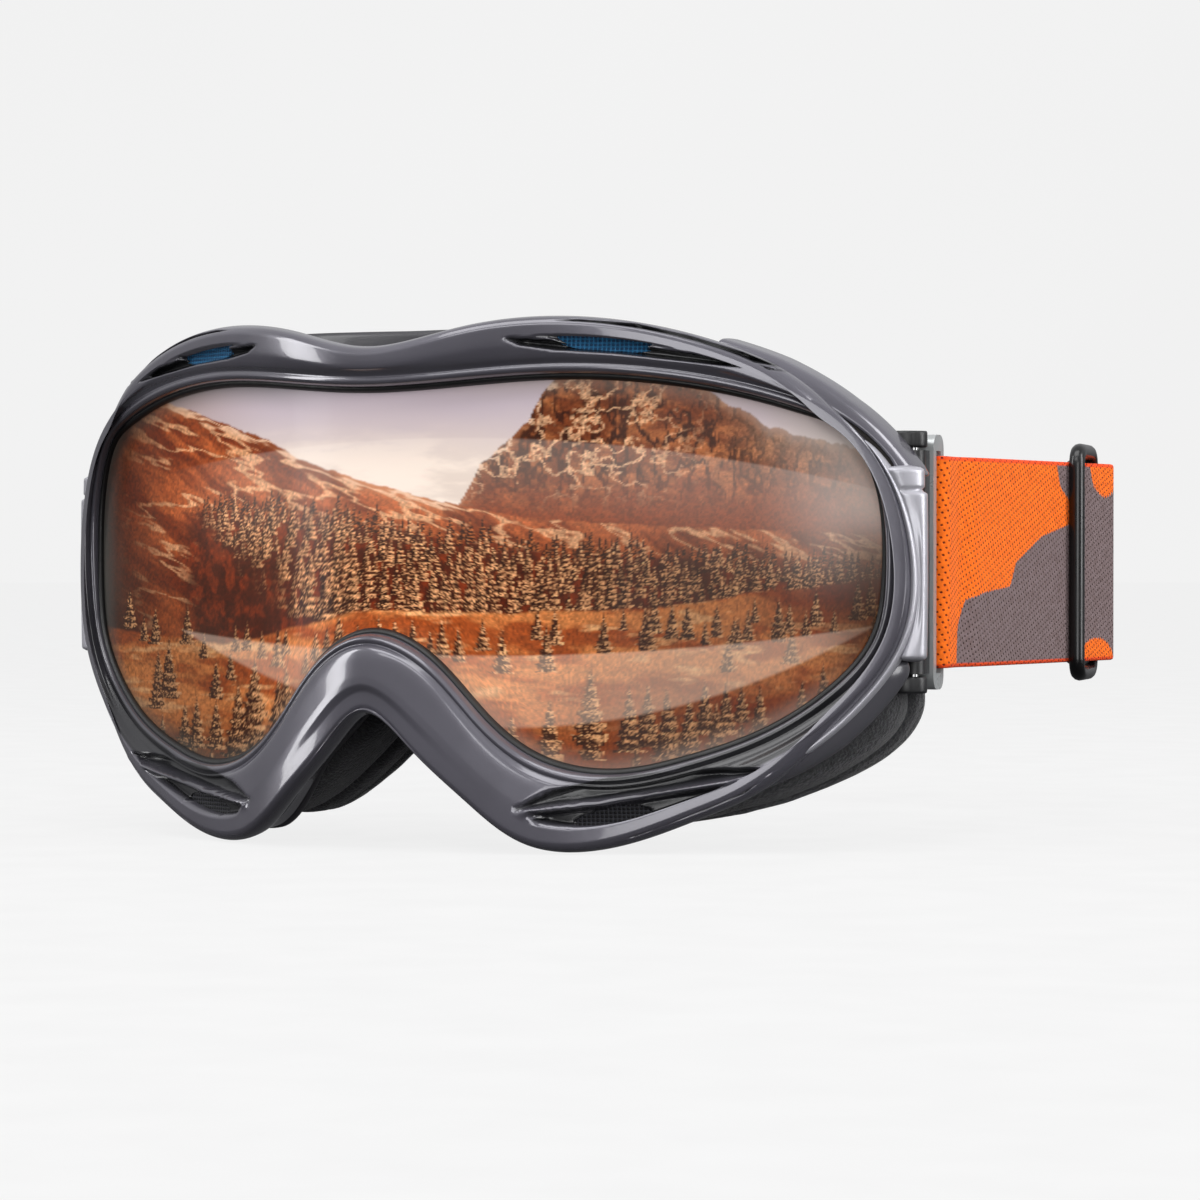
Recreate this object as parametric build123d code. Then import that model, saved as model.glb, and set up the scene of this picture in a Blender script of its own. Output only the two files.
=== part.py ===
from build123d import *
import math
import os

# Ski goggles, in millimetres. X runs across the face, Y from the lens back to
# the rear of the strap, Z up. The origin is the middle of the footprint.

# Overall depth: the crown of the frame to the outside of the strap's back.
CROWN_RISE = 5.0
STRAP_BACK = 150.0
Y_MIDDLE = (STRAP_BACK - CROWN_RISE) / 2

# Plan curves, as (depth at the centre, extra depth at the side, power).
HALF_LENS = 84.0
HALF_FRAME = 91.5
LENS_PLAN = (0.0, 38.3, 1.555)
FRAME_BACK_PLAN = (16.0, 31.6, 1.8)
FACE_PLAN = (41.0, 21.5, 1.6)
CENTRE_SOFTENING = 0.16

# Half outlines seen from the front, from top centre to bottom centre, as (x, z).
LENS_OUTLINE = [
    (0, 83.4), (20, 84.6), (40, 85.4), (57, 83.4), (71, 79.4), (79.5, 73.5),
    (83.4, 63), (84, 51), (82.4, 39), (77, 30.5), (66, 21.8), (53, 16.5),
    (40, 14.3), (30.4, 16.6), (20.5, 24.5), (10.5, 35.2), (0, 39.3),
]
FRAME_OUTLINE = [
    (0, 90.8), (15, 93.7), (32, 96), (48, 94), (64, 89), (77, 80.4), (86.5, 68),
    (91.3, 54), (90.6, 41), (85.5, 29), (76, 18), (64, 9.6), (50, 4.2), (36, -0.35),
    (26, 2.9), (16.8, 10.7), (8.4, 18.5), (0, 24.7),
]
FOAM_OUTLINE = [
    (0, 87), (15, 90), (32, 92.2), (48, 90.2), (62, 85.5), (72, 77.5), (77.6, 67),
    (79.2, 54), (79.2, 42), (79, 31), (76, 22), (69, 13.5), (60, 7.6), (50, 3.6),
    (37, 1.2), (27, 4.2), (17.5, 12.2), (8.6, 20.5), (0, 27),
]
FACE_OPENING = [
    (0, 77.5), (20, 80), (40, 82), (55, 79.6), (65, 72.5), (70, 62), (71, 50),
    (69.6, 38), (64.5, 28), (54.5, 20), (42.5, 16.4), (32.5, 19), (23, 26.8),
    (12.5, 36.4), (0, 40.8),
]

# Frame shells and lens pack.
EDGE_ROUNDING = 2.4
BODY_DEPTH = 5.0
SKIRT_INSET = 2.2
LENS_SEAT = 2.4
REAR_SHELL_DEPTH = 2.8
FLANGE_SETBACK = 1.5
LENS_THICKNESS = 1.2
SPACER_DEPTH = 2.2
SPACER_WIDTH = 4.5
INNER_LENS_THICKNESS = 0.8
GASKET_WIDTH = 0.9
GASKET_DEPTH = 1.2
GAP = 0.05

# Vents, each a slot in an eye-shaped recess: centre, slot length and height.
TOP_VENT = (38.5, 91.2)
TOP_VENT_SIZE = (15.0, 3.0)
BOTTOM_VENT = (41.5, 7.7)
BOTTOM_VENT_SIZE = (14.0, 3.2)
TOP_RECESS = ((20.5, 90.6), (46.0, 93.2), (68.0, 84.6), (46.0, 88.6))
BOTTOM_RECESS = ((26.0, 7.2), (44.0, 11.4), (63.0, 14.6), (46.0, 5.6))
MESH_THICKNESS = 0.8

# Side lugs, hinge pins and outriggers. The ring carries the strap.
HINGE = (84.0, 50.2)
PIN_RADIUS = 1.0
PIN_CLEARANCE = 0.05
KNUCKLE_RADIUS = 2.3
STRAP_LEVEL = 52.0
ARM_HALF = 20.4
LUG_HEIGHT = 3.0
LUG_GAP = 0.5
RING_FRONT = (86.6, 53.7)
RING_LEAN = -5.7
RING_LENGTH = 7.0
RING_THICKNESS = 2.8
RING_HALF = 23.4
RING_BAR = 2.0
SLOT_HALF = 20.4

# Strap: flat webbing, doubled between the ring and the slider.
STRAP_HALF = 19.5
STRAP_THICKNESS = 1.5
STRAP_START = (87.9, 67.0)
STRAP_CORNER = (95.2, 130.5)
STRAP_BACK_TURN = 58.0
CORNER_RADIUS = 3.5
BACK_RADIUS = 60.0
STUB_LENGTH = 11.0
INNER_LAYER_END = 92.0
LAYER_CLEARANCE = 0.3

# Slider, a three-bar glide: distances along the strap from its front bar.
SLIDER_FRONT_Y = 109.5
SLIDER_CENTRE = 7.6
SLIDER_REAR = 15.0
SLIDER_HALF = 22.8
BAR_LENGTH = 2.6
BAR_THICKNESS = 2.2
SEWN_END_LENGTH = 25.5
SEWN_THICKNESS = 1.3

# Silicone grip lines on the inside of the strap's back.
GRIP_HALF_LENGTH = 52.0
GRIP_WIDTH = 2.0
GRIP_THICKNESS = 0.6
GRIP_SPACING = 9.0

PLAN_REACH = 108.0
PLAN_STEP = 13.5
DEEP = 220.0


def depth_at(x, plan, half=HALF_LENS):
    """Distance back from the front of the lens, at a distance x from the centre."""
    base, sweep, power = plan
    soft = CENTRE_SOFTENING ** 2
    low = soft ** (power / 2)
    high = (1 + soft) ** (power / 2)
    bend = ((x / half) ** 2 + soft) ** (power / 2)
    return base + sweep * (bend - low) / (high - low)


def slab(front, back, z_low=-10.0, z_high=110.0):
    """A curved slab between two plan curves, each (plan, offset)."""
    count = int(2 * PLAN_REACH / PLAN_STEP)
    across = [-PLAN_REACH + PLAN_STEP * i for i in range(count + 1)]
    ahead = [(x, depth_at(x, front[0]) + front[1]) for x in across]
    behind = [(x, depth_at(x, back[0]) + back[1]) for x in across]
    edges = Spline(*ahead) + Line(ahead[-1], behind[-1]) + Spline(*behind[::-1])
    edges += Line(behind[0], ahead[0])
    return Pos(0, 0, z_low) * extrude(make_face(edges), amount=z_high - z_low)


def closed_points(half_outline, grow):
    """The whole outline, moved outwards by grow along its own normals."""
    right = [(float(x), float(z)) for x, z in half_outline]
    left = [(-x, z) for x, z in right[-2:0:-1]]
    points = right + left
    moved = []
    for i, (x, z) in enumerate(points):
        before = points[i - 1]
        after = points[(i + 1) % len(points)]
        dx, dz = after[0] - before[0], after[1] - before[1]
        size = math.hypot(dx, dz)
        moved.append((x - grow * dz / size, z + grow * dx / size))
    return moved


def prism(half_outline, grow=0.0):
    """The outline drawn right through the object along Y."""
    points = [(x, -DEEP / 2, z) for x, z in closed_points(half_outline, grow)]
    face = make_face(Spline(*points, periodic=True))
    return extrude(face, amount=DEEP, dir=(0, 1, 0))


def frame_back(offset=0.0):
    return (FRAME_BACK_PLAN, offset)


def lens_front(offset=0.0):
    return (LENS_PLAN, offset)


def mirrored(solid):
    return mirror(solid, about=Plane.YZ)


def vent_slot(centre, size, grow=0.0):
    """A round-ended slot right through the frame along Y."""
    shape = SlotOverall(size[0] + 2 * grow, size[1] + 2 * grow)
    face = Plane.XZ * (Pos(centre[0], centre[1]) * shape)
    return Pos(0, DEEP / 2, 0) * extrude(face, amount=DEEP)


def vent_recess(corners):
    """The eye-shaped hollow round a vent: two arcs that meet in points."""
    left, top, right, bottom = [(x, -DEEP / 2, z) for x, z in corners]
    edges = ThreePointArc(left, top, right) + ThreePointArc(right, bottom, left)
    return extrude(make_face(edges), amount=DEEP, dir=(0, 1, 0))


def both(solid):
    return [solid, mirrored(solid)]


def front_frame():
    """The moulded front shell: a raised crown, the wide body and a stepped skirt."""
    ring = prism(FRAME_OUTLINE, -EDGE_ROUNDING) - prism(LENS_OUTLINE)
    for recess in (TOP_RECESS, BOTTOM_RECESS):
        for cut in both(vent_recess(recess)):
            ring -= cut
    crown = ring & slab(lens_front(-CROWN_RISE), lens_front(-CROWN_RISE / 2))
    lip = prism(FRAME_OUTLINE, -EDGE_ROUNDING / 4) - prism(LENS_OUTLINE)
    lip &= slab(lens_front(-CROWN_RISE / 2), lens_front(-GAP))
    hole = prism(LENS_OUTLINE, LENS_SEAT)
    body = (prism(FRAME_OUTLINE) - hole) & slab(lens_front(-GAP), lens_front(BODY_DEPTH))
    skirt = prism(FRAME_OUTLINE, -SKIRT_INSET) - hole
    skirt &= slab(lens_front(BODY_DEPTH), frame_back(-REAR_SHELL_DEPTH - GAP))
    shell = crown + lip + body + skirt
    for centre, size in ((TOP_VENT, TOP_VENT_SIZE), (BOTTOM_VENT, BOTTOM_VENT_SIZE)):
        for cut in both(vent_slot(centre, size)):
            shell -= cut
    below = Pos(0, 0, -DEEP / 2) * Box(DEEP, DEEP, DEEP)
    return shell - below


def rear_frame():
    """The rear shell that carries the foam and the lugs of the two hinges."""
    shell = prism(FRAME_OUTLINE, -EDGE_ROUNDING / 2) - prism(FACE_OPENING, FLANGE_SETBACK)
    shell &= slab(frame_back(-REAR_SHELL_DEPTH), frame_back())
    for centre, size in ((TOP_VENT, TOP_VENT_SIZE), (BOTTOM_VENT, BOTTOM_VENT_SIZE)):
        for cut in both(vent_slot(centre, size)):
            shell -= cut
    x, y = HINGE
    room = Pos(x, y, STRAP_LEVEL) * Cylinder(KNUCKLE_RADIUS + LUG_GAP, 2 * (ARM_HALF + LUG_GAP))
    lugs = []
    for side in (1, -1):
        level = STRAP_LEVEL + side * (ARM_HALF + LUG_GAP + LUG_HEIGHT / 2)
        lug = Pos(x, y, level) * Cylinder(KNUCKLE_RADIUS + LUG_GAP, LUG_HEIGHT)
        lug += Pos(x - 2.0, y - 5.0, level) * Box(5.2, 11.0, LUG_HEIGHT)
        lug &= slab(frame_back(-REAR_SHELL_DEPTH), frame_back(PLAN_REACH))
        lug -= Pos(x, y, level) * Cylinder(PIN_RADIUS, LUG_HEIGHT + 1)
        lugs.append(lug)
    for solid in both(room):
        shell -= solid
    for lug in lugs:
        for solid in both(lug):
            shell += solid
    return shell


def curved_sheet(grow, start, stop):
    return prism(LENS_OUTLINE, grow) & slab(lens_front(start), lens_front(stop))


def curved_ring(outer, inner, start, stop):
    ring = prism(LENS_OUTLINE, outer) - prism(LENS_OUTLINE, inner)
    return ring & slab(lens_front(start), lens_front(stop))


def lens_pack():
    """The outer lens, the foam spacer, the inner lens, the gasket and the clips."""
    seat = LENS_SEAT - 2 * GAP
    spacer_start = LENS_THICKNESS + GAP
    inner_start = spacer_start + SPACER_DEPTH + GAP
    clip_start = inner_start + INNER_LENS_THICKNESS + GAP
    outer_lens = curved_sheet(seat, 0, LENS_THICKNESS)
    spacer = curved_ring(seat, seat - SPACER_WIDTH, spacer_start, spacer_start + SPACER_DEPTH)
    inner_lens = curved_sheet(seat - GAP, inner_start, inner_start + INNER_LENS_THICKNESS)
    gasket = curved_sheet(-GAP, -GASKET_DEPTH, -GAP) - prism(LENS_OUTLINE, -GASKET_WIDTH)
    rim = curved_ring(seat, -1.5, clip_start, clip_start + 1.6)
    clips = []
    for x, z, turn in ((0, 84, 0), (50, 84, 0), (81, 68, 60), (79, 33, -50), (50, 16, 0)):
        block = Pos(x, 0, z) * Rot(0, turn, 0) * Box(10, DEEP, 9)
        piece = rim & block
        clips += [piece] if x == 0 else both(piece)
    return {
        "outer_lens": outer_lens,
        "lens_spacer": spacer,
        "inner_lens": inner_lens,
        "lens_gasket": gasket,
        "lens_clips": Compound(children=[solid for clip in clips for solid in clip.solids()]),
    }


def vent_fillings():
    """A mesh plate near the front of each vent slot, and open-cell foam behind it."""
    fillings = {}
    places = (("top_vent", TOP_VENT, TOP_VENT_SIZE), ("bottom_vent", BOTTOM_VENT, BOTTOM_VENT_SIZE))
    for name, centre, size in places:
        plug = vent_slot(centre, size, -GAP)
        mesh = plug & slab(lens_front(1.0), lens_front(1.0 + MESH_THICKNESS))
        foam = plug & slab(lens_front(1.2 + MESH_THICKNESS), frame_back(-REAR_SHELL_DEPTH - 0.3))
        for part, solid in (("mesh", mesh), ("foam", foam)):
            fillings[f"{name}_{part}_right"] = solid
            fillings[f"{name}_{part}_left"] = mirrored(solid)
    return fillings


def face_foam():
    """Three layers of foam between the rear shell and the face."""
    ring = prism(FOAM_OUTLINE) - prism(FACE_OPENING)
    layers = {"foam_base": (0.15, 0.62), "foam_middle": (0.62, 0.9), "face_fleece": (0.9, 1.0)}
    solids = {}
    for name, (start, stop) in layers.items():
        bounds = []
        for share, inset in ((start, GAP), (stop, -GAP)):
            shares = [share * b + (1 - share) * a for a, b in zip(FRAME_BACK_PLAN, FACE_PLAN)]
            bounds.append((tuple(shares), inset))
        if name == "foam_base":
            bounds[0] = frame_back(GAP)
        solids[name] = ring & slab(*bounds)
    return solids


def side_cover():
    """The glossy panel on the right side of the frame."""
    panel = prism(FRAME_OUTLINE, 1.2) - prism(FRAME_OUTLINE, GAP)
    panel &= slab(lens_front(1.0), frame_back(-1.0))
    return panel & (Pos(HALF_FRAME, 0, STRAP_LEVEL) * Box(40, DEEP, 39))


def ring_frame(forward, outward):
    """A point of the ring's own frame, in plan."""
    turn = math.radians(RING_LEAN)
    along = (math.sin(turn), math.cos(turn))
    out = (math.cos(turn), -math.sin(turn))
    x = RING_FRONT[0] + forward * along[0] + outward * out[0]
    y = RING_FRONT[1] + forward * along[1] + outward * out[1]
    return (x, y)


def ring_block(start, stop, inner, outer, half):
    """A block in the ring's frame, half above and half below the strap's level."""
    corners = [ring_frame(start, inner), ring_frame(stop, inner)]
    corners += [ring_frame(stop, outer), ring_frame(start, outer)]
    face = make_face(Polyline(*corners, close=True))
    return Pos(0, 0, STRAP_LEVEL - half) * extrude(face, amount=2 * half)


def outrigger_arm():
    """The knuckle on the hinge pin, with a web that ends at the ring."""
    x, y = HINGE
    arm = Pos(x, y, STRAP_LEVEL) * Cylinder(KNUCKLE_RADIUS, 2 * ARM_HALF)
    web = Pos(x + 0.6, y + 1.6, STRAP_LEVEL) * Box(2.6, 3.4, 2 * ARM_HALF)
    arm += web
    bore = Pos(x, y, STRAP_LEVEL) * Cylinder(PIN_RADIUS + PIN_CLEARANCE, 3 * ARM_HALF)
    return arm - bore - ring_block(-0.02, 8, -6, 3, RING_HALF)


def outrigger_ring():
    """The oblong ring with the strap slot, its corners rounded."""
    ring = ring_block(0, RING_LENGTH, -RING_THICKNESS, 0, RING_HALF)
    corners = ring.edges().filter_by(lambda edge: abs((edge @ 1 - edge @ 0).Z) < 0.01)
    short = [e for e in corners if abs(e.length - RING_THICKNESS) < 0.01]
    ring = fillet(short, 2.6)
    slot_end = RING_LENGTH - RING_BAR
    return ring - ring_block(RING_BAR, slot_end, -RING_THICKNESS - 1, 1, SLOT_HALF)


def strap_stub():
    """The fold of strap round the ring's rear bar, open to the rear."""
    clear = LAYER_CLEARANCE
    thick = STRAP_THICKNESS
    fold = RING_LENGTH - RING_BAR - clear - thick
    outer = ring_block(fold, STUB_LENGTH, -RING_THICKNESS - clear - thick, clear + thick, STRAP_HALF)
    outer = fillet(outer.edges().filter_by(Axis.Z).sort_by(Axis.Y)[:2], 1.2)
    return outer - ring_block(
        fold + thick, STUB_LENGTH + 1, -RING_THICKNESS - clear, clear, STRAP_HALF + 1
    )


def offset_path(points, amount):
    """An open path of straight runs, moved to its right by amount."""
    moved = []
    for i, point in enumerate(points):
        turns = []
        for a, b in ((i - 1, i), (i, i + 1)):
            if a >= 0 and b < len(points):
                dx, dy = points[b][0] - points[a][0], points[b][1] - points[a][1]
                size = math.hypot(dx, dy)
                turns.append((dy / size, -dx / size))
        nx = sum(turn[0] for turn in turns) / len(turns)
        ny = sum(turn[1] for turn in turns) / len(turns)
        scale = amount / (nx * nx + ny * ny)
        moved.append((point[0] + nx * scale, point[1] + ny * scale))
    return moved


def strap_path():
    """The strap's middle line in plan, from the right ring round to the left one."""
    back = STRAP_BACK - STRAP_THICKNESS / 2
    right = [STRAP_START, STRAP_CORNER, (STRAP_BACK_TURN, back)]
    return right + [(-x, y) for x, y in right[::-1]]


def strap_band(inner, outer, half):
    """A band along the strap's path between two offsets, outwards positive."""
    radii = [CORNER_RADIUS, BACK_RADIUS, BACK_RADIUS, CORNER_RADIUS]
    path = strap_path()
    outside = FilletPolyline(*offset_path(path, outer), radius=[r + outer for r in radii])
    inside = FilletPolyline(*offset_path(path, inner), radius=[r + inner for r in radii])
    edges = outside + Line(outside @ 1, inside @ 1) + inside + Line(inside @ 0, outside @ 0)
    return Pos(0, 0, STRAP_LEVEL - half) * extrude(make_face(edges), amount=2 * half)


def strap_main():
    return strap_band(-STRAP_THICKNESS / 2, STRAP_THICKNESS / 2, STRAP_HALF)


def grip_strips():
    """Three silicone lines on the inside of the strap's back."""
    strips = []
    band = strap_band(-STRAP_THICKNESS / 2 - GRIP_THICKNESS, -STRAP_THICKNESS / 2 - 0.02, 50)
    for row in (-1, 0, 1):
        level = STRAP_LEVEL + row * GRIP_SPACING
        box = Pos(0, STRAP_BACK, level) * Box(2 * GRIP_HALF_LENGTH, 40, GRIP_WIDTH)
        strips += (band & box).solids()
    return Compound(children=strips)


def along_strap(distance, outward):
    """A point beside the strap's straight run, measured from the slider's front bar."""
    dx, dy = STRAP_CORNER[0] - STRAP_START[0], STRAP_CORNER[1] - STRAP_START[1]
    size = math.hypot(dx, dy)
    start = (SLIDER_FRONT_Y - STRAP_START[1]) * size / dy
    x = STRAP_START[0] + (start + distance) * dx / size + outward * dy / size
    y = STRAP_START[1] + (start + distance) * dy / size - outward * dx / size
    return (x, y)


def strap_block(start, stop, inner, outer, half):
    """A block beside the strap's straight run, centred on the strap's level."""
    corners = [along_strap(start, inner), along_strap(stop, inner)]
    corners += [along_strap(stop, outer), along_strap(start, outer)]
    face = make_face(Polyline(*corners, close=True))
    return Pos(0, 0, STRAP_LEVEL - half) * extrude(face, amount=2 * half)


BAR_OFFSET = STRAP_THICKNESS / 2 + LAYER_CLEARANCE + BAR_THICKNESS / 2
CENTRE_BAR_OFFSET = -BAR_OFFSET - SEWN_THICKNESS - LAYER_CLEARANCE / 2


def slider():
    """The three-bar glide: bars across the strap, joined above and below it."""
    half_bar = BAR_THICKNESS / 2
    places = (
        (0.0, BAR_OFFSET),
        (SLIDER_CENTRE, CENTRE_BAR_OFFSET),
        (SLIDER_REAR, -BAR_OFFSET),
    )
    body = None
    for distance, offset in places:
        bar = strap_block(
            distance - BAR_LENGTH / 2, distance + BAR_LENGTH / 2,
            offset - half_bar, offset + half_bar, SLIDER_HALF,
        )
        bar = fillet(bar.edges().filter_by(Axis.Z), 0.8)
        body = bar if body is None else body + bar
    end_height = SLIDER_HALF - STRAP_HALF - 0.6
    for (s1, o1), (s2, o2) in zip(places, places[1:]):
        corners = [along_strap(s1, o1 - half_bar), along_strap(s2, o2 - half_bar)]
        corners += [along_strap(s2, o2 + half_bar), along_strap(s1, o1 + half_bar)]
        face = make_face(Polyline(*corners, close=True))
        for low in (STRAP_LEVEL + SLIDER_HALF - end_height, STRAP_LEVEL - SLIDER_HALF):
            body += Pos(0, 0, low) * extrude(face, amount=end_height)
    return body


def sewn_end():
    """The strap's end, folded round the slider's centre bar and sewn to itself."""
    clear = LAYER_CLEARANCE / 2
    near = CENTRE_BAR_OFFSET + BAR_THICKNESS / 2 + clear
    far = CENTRE_BAR_OFFSET - BAR_THICKNESS / 2 - clear
    fold = SLIDER_CENTRE + BAR_LENGTH / 2 + clear
    start = SLIDER_CENTRE - SEWN_END_LENGTH
    half = STRAP_HALF - 0.3
    outer = strap_block(start, fold + SEWN_THICKNESS, far - SEWN_THICKNESS, near + SEWN_THICKNESS, half)
    outer = fillet(outer.edges().filter_by(Axis.Z).sort_by(Axis.Y)[-2:], 1.1)
    return outer - strap_block(start - 1, fold, far, near, half + 1)


def strap_inner():
    """The inner layer of the doubled strap, between the ring and the slider."""
    start = along_strap(0, 0)[1] - STRAP_START[1]
    stop = along_strap(0, 0)[1] - INNER_LAYER_END
    middle = CENTRE_BAR_OFFSET
    half_thick = SEWN_THICKNESS / 2
    return strap_block(-start, -stop, middle - half_thick, middle + half_thick, STRAP_HALF - 0.3)


def hinge_pin():
    length = 2 * (ARM_HALF + LUG_GAP + LUG_HEIGHT)
    pin = Pos(HINGE[0], HINGE[1], STRAP_LEVEL) * Cylinder(PIN_RADIUS - 0.005, length)
    return pin


def build():
    nodes = {"front_frame": front_frame(), "rear_frame": rear_frame()}
    nodes.update(lens_pack())
    nodes.update(vent_fillings())
    nodes.update(face_foam())
    sided = {
        "side_cover": side_cover(),
        "hinge_pin": hinge_pin(),
        "outrigger_arm": outrigger_arm(),
        "outrigger_ring": outrigger_ring(),
        "strap_stub": strap_stub(),
        "strap_inner": strap_inner(),
        "strap_end": sewn_end(),
        "strap_slider": slider(),
    }
    for name, solid in sided.items():
        nodes[name + "_right"] = solid
        nodes[name + "_left"] = mirrored(solid)
    nodes["strap_main"] = strap_main()
    nodes["grip_strips"] = grip_strips()
    return nodes


def main():
    os.makedirs("parts", exist_ok=True)
    for name, solid in build().items():
        export_step(Pos(0, -Y_MIDDLE, 0) * solid, "parts/" + name + ".step")


main()
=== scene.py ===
import math

import bmesh
import bpy
import numpy as np
from mathutils import Matrix, Vector


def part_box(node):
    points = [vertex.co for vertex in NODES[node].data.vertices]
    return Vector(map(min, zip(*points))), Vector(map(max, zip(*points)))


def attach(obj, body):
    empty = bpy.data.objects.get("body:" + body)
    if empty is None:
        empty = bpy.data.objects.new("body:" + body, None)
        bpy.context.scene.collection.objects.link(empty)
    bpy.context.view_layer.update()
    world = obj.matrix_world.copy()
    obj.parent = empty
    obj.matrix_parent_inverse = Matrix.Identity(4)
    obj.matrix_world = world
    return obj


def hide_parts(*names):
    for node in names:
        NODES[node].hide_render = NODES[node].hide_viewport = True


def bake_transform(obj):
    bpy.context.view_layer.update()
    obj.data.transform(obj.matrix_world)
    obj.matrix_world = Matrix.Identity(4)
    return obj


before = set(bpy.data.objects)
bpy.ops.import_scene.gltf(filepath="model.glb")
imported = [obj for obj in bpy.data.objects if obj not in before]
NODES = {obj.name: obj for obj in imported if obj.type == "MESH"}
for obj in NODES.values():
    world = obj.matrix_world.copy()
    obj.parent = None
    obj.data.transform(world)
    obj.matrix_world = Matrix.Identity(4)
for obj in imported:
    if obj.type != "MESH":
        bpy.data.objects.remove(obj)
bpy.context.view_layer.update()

# The goggles' shapes are in millimetres, with Y from the middle of the lens front. The stage, lights
# and camera are in metres.
FRONT_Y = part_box("outer_lens")[0].y * 1000
HALF_LENS = 84.0
LENS_PLAN = (0.0, 38.3, 1.555)
FRAME_BACK_PLAN = (16.0, 31.6, 1.8)
FACE_PLAN = (41.0, 21.5, 1.6)

# Stations round the right half, top centre to bottom centre: the lens edge and the frame edge.
STATIONS = [
    ((0, 83.4), (0, 90.8)), ((20, 84.6), (18, 94.2)), ((40, 85.4), (40, 95.5)),
    ((57, 83.4), (58, 91.5)), ((71, 79.4), (74, 83)), ((79.5, 73.5), (84.5, 72)),
    ((83.4, 63), (89.5, 61)), ((84, 51), (91.3, 50)), ((82.4, 39), (89.6, 37)),
    ((77, 30.5), (83.5, 26)), ((66, 21.8), (71.5, 14.3)), ((53, 16.5), (56, 6.3)),
    ((40, 14.3), (40, 0.7)), ((30.4, 16.6), (29, 1.4)), ((20.5, 24.5), (18.5, 9)),
    ((10.5, 35.2), (8.6, 18.3)), ((0, 39.3), (0, 24.7)),
]
# The same for the face foam: the opening and the outside.
FOAM_STATIONS = [
    ((0, 77.5), (0, 86.5)), ((20, 80), (18, 90)), ((40, 82), (38, 91.5)), ((53, 80), (55, 88)),
    ((63, 74.5), (68, 81.5)), ((69, 65), (76.5, 70)), ((71, 51), (79, 53)), ((69.6, 38), (79.2, 38)),
    ((65, 28.5), (81.8, 25)), ((55.5, 20.5), (71, 13.2)), ((43, 16.4), (50, 5.4)),
    ((33, 18.6), (36, 4.0)), ((23, 26.8), (18.5, 12.8)), ((12.5, 36.4), (9, 21.2)),
    ((0, 40.8), (0, 27.6)),
]

# Front shell, inside the lens edge and round to the back: (share of the width, offset across, depth,
# 0 from the lens or 1 from the frame's back, pull inwards at the sides, pull inwards at the nose).
SHELL_SECTION = [
    (0, 0.3, 1.6, 0, 0, 0), (0, 0.0, 0.2, 0, 0, 0), (0, 0.05, -1.6, 0, 0, 0), (0, 0.3, -2.7, 0, 0, 0),
    (0, 0.9, -3.35, 0, 0, 0), (0, 1.5, -3.3, 0, 0, 0), (0, 1.9, -3.0, 0, 0, 0), (0, 2.3, -3.3, 0, 0, 0),
    (0, 3.0, -4.05, 0, 0, 0), (0.5, -0.4, -4.6, 0, 0, 0), (0.55, 0.3, -4.75, 0, 0, 0),
    (1, -2.2, -4.75, 0, 3.2, 0), (1, -1.5, -4.7, 0, 3.2, 0), (1, -0.6, -4.1, 0, 3.2, 0),
    (1, -0.1, -3.0, 0, 3.2, 0), (1, 0.1, -1.4, 0, 3.2, 0), (1, -0.1, 0.6, 0, 3.6, 0.3),
    (1, -0.5, 3.0, 0, 3.8, 1.2), (1, -1.2, 4.4, 0, 4.0, 1.8), (1, -1.6, -4.6, 1, 4.6, 3.6),
    (1, -1.7, -2.9, 1, 4.8, 4.4), (1, -4.2, -2.9, 1, 3.0, 3.0), (1, -4.6, 4.0, 0, 1.6, 1.0),
    (0, 2.6, 2.0, 0, 0, 0),
]
# How much of each pull applies, by station.
SIDE_PULL = ((0, 0), (3.4, 0), (5.2, 1), (9.2, 1), (10.8, 0), (16, 0))
NOSE_PULL = ((0, 0), (12.8, 0), (14.2, 1), (16, 1))
LOW_VALLEY = ((0, 0), (6.2, 0), (8.2, 1), (11.0, 1), (12.6, 0), (16, 0))
SHELL_STEPS = 960
RING_STEPS = 480

# Top vent, as (x, z) lines, and its slot: centre x and z, half length, half height, slant in degrees.
TOP_LOW = ((24.2, 92.4), (28, 90.3), (34, 89.4), (43.5, 88.8), (52.3, 87.7), (61, 86.6), (69.5, 85.8))
TOP_RIDGE = ((25.5, 92.1), (33, 91.7), (48, 90.5), (57, 89), (63, 87.7), (69.5, 86.3))
TOP_HIGH = ((24.7, 93.3), (31, 94.8), (37.3, 95.2), (46.3, 94.6), (55, 92.4), (63, 89.6), (69.5, 86.6))
TOP_SLOT = (41.2, 91.4, 8.2, 1.6, -5.0)
# Bottom vent, the same way.
LOW_EDGE = ((29.5, 7.2), (32, 4.6), (35, 2.8), (40, 2.1), (46.5, 3), (58, 7.9), (63.5, 10.6), (67, 13.6))
LOW_RIB = ((27, 7.4), (41, 9.2), (54, 11.6), (63, 13.2), (69, 14.8))
LOW_HIGH = ((27.5, 8.6), (33, 11.7), (42, 14), (51, 15), (60, 15.5), (68.5, 15.6))
LOW_SLOT = (42, 6.4, 6.2, 1.7, 10.0)

SIDES = (("right", 1), ("left", -1))

# Strap, ring and slider.
STRAP_LEVEL = 52.0
STRAP_HALF = 19.5
STRAP_THICKNESS = 1.5
STRAP_START = (87.9, 67.0)
STRAP_CORNER = (95.2, 130.5)
STRAP_BACK_TURN = 58.0
STRAP_BACK_Y = 149.25
RING_FRONT = (86.6, 53.7)
RING_LEAN = math.radians(-5.7)
SLIDER_FRONT_Y = 109.5
SLIDER_CENTRE = 7.6
SLIDER_LENGTH = 15.0
LAYER_OFFSET = -3.6


# ---------------------------------------------------------------- shape helpers

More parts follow.
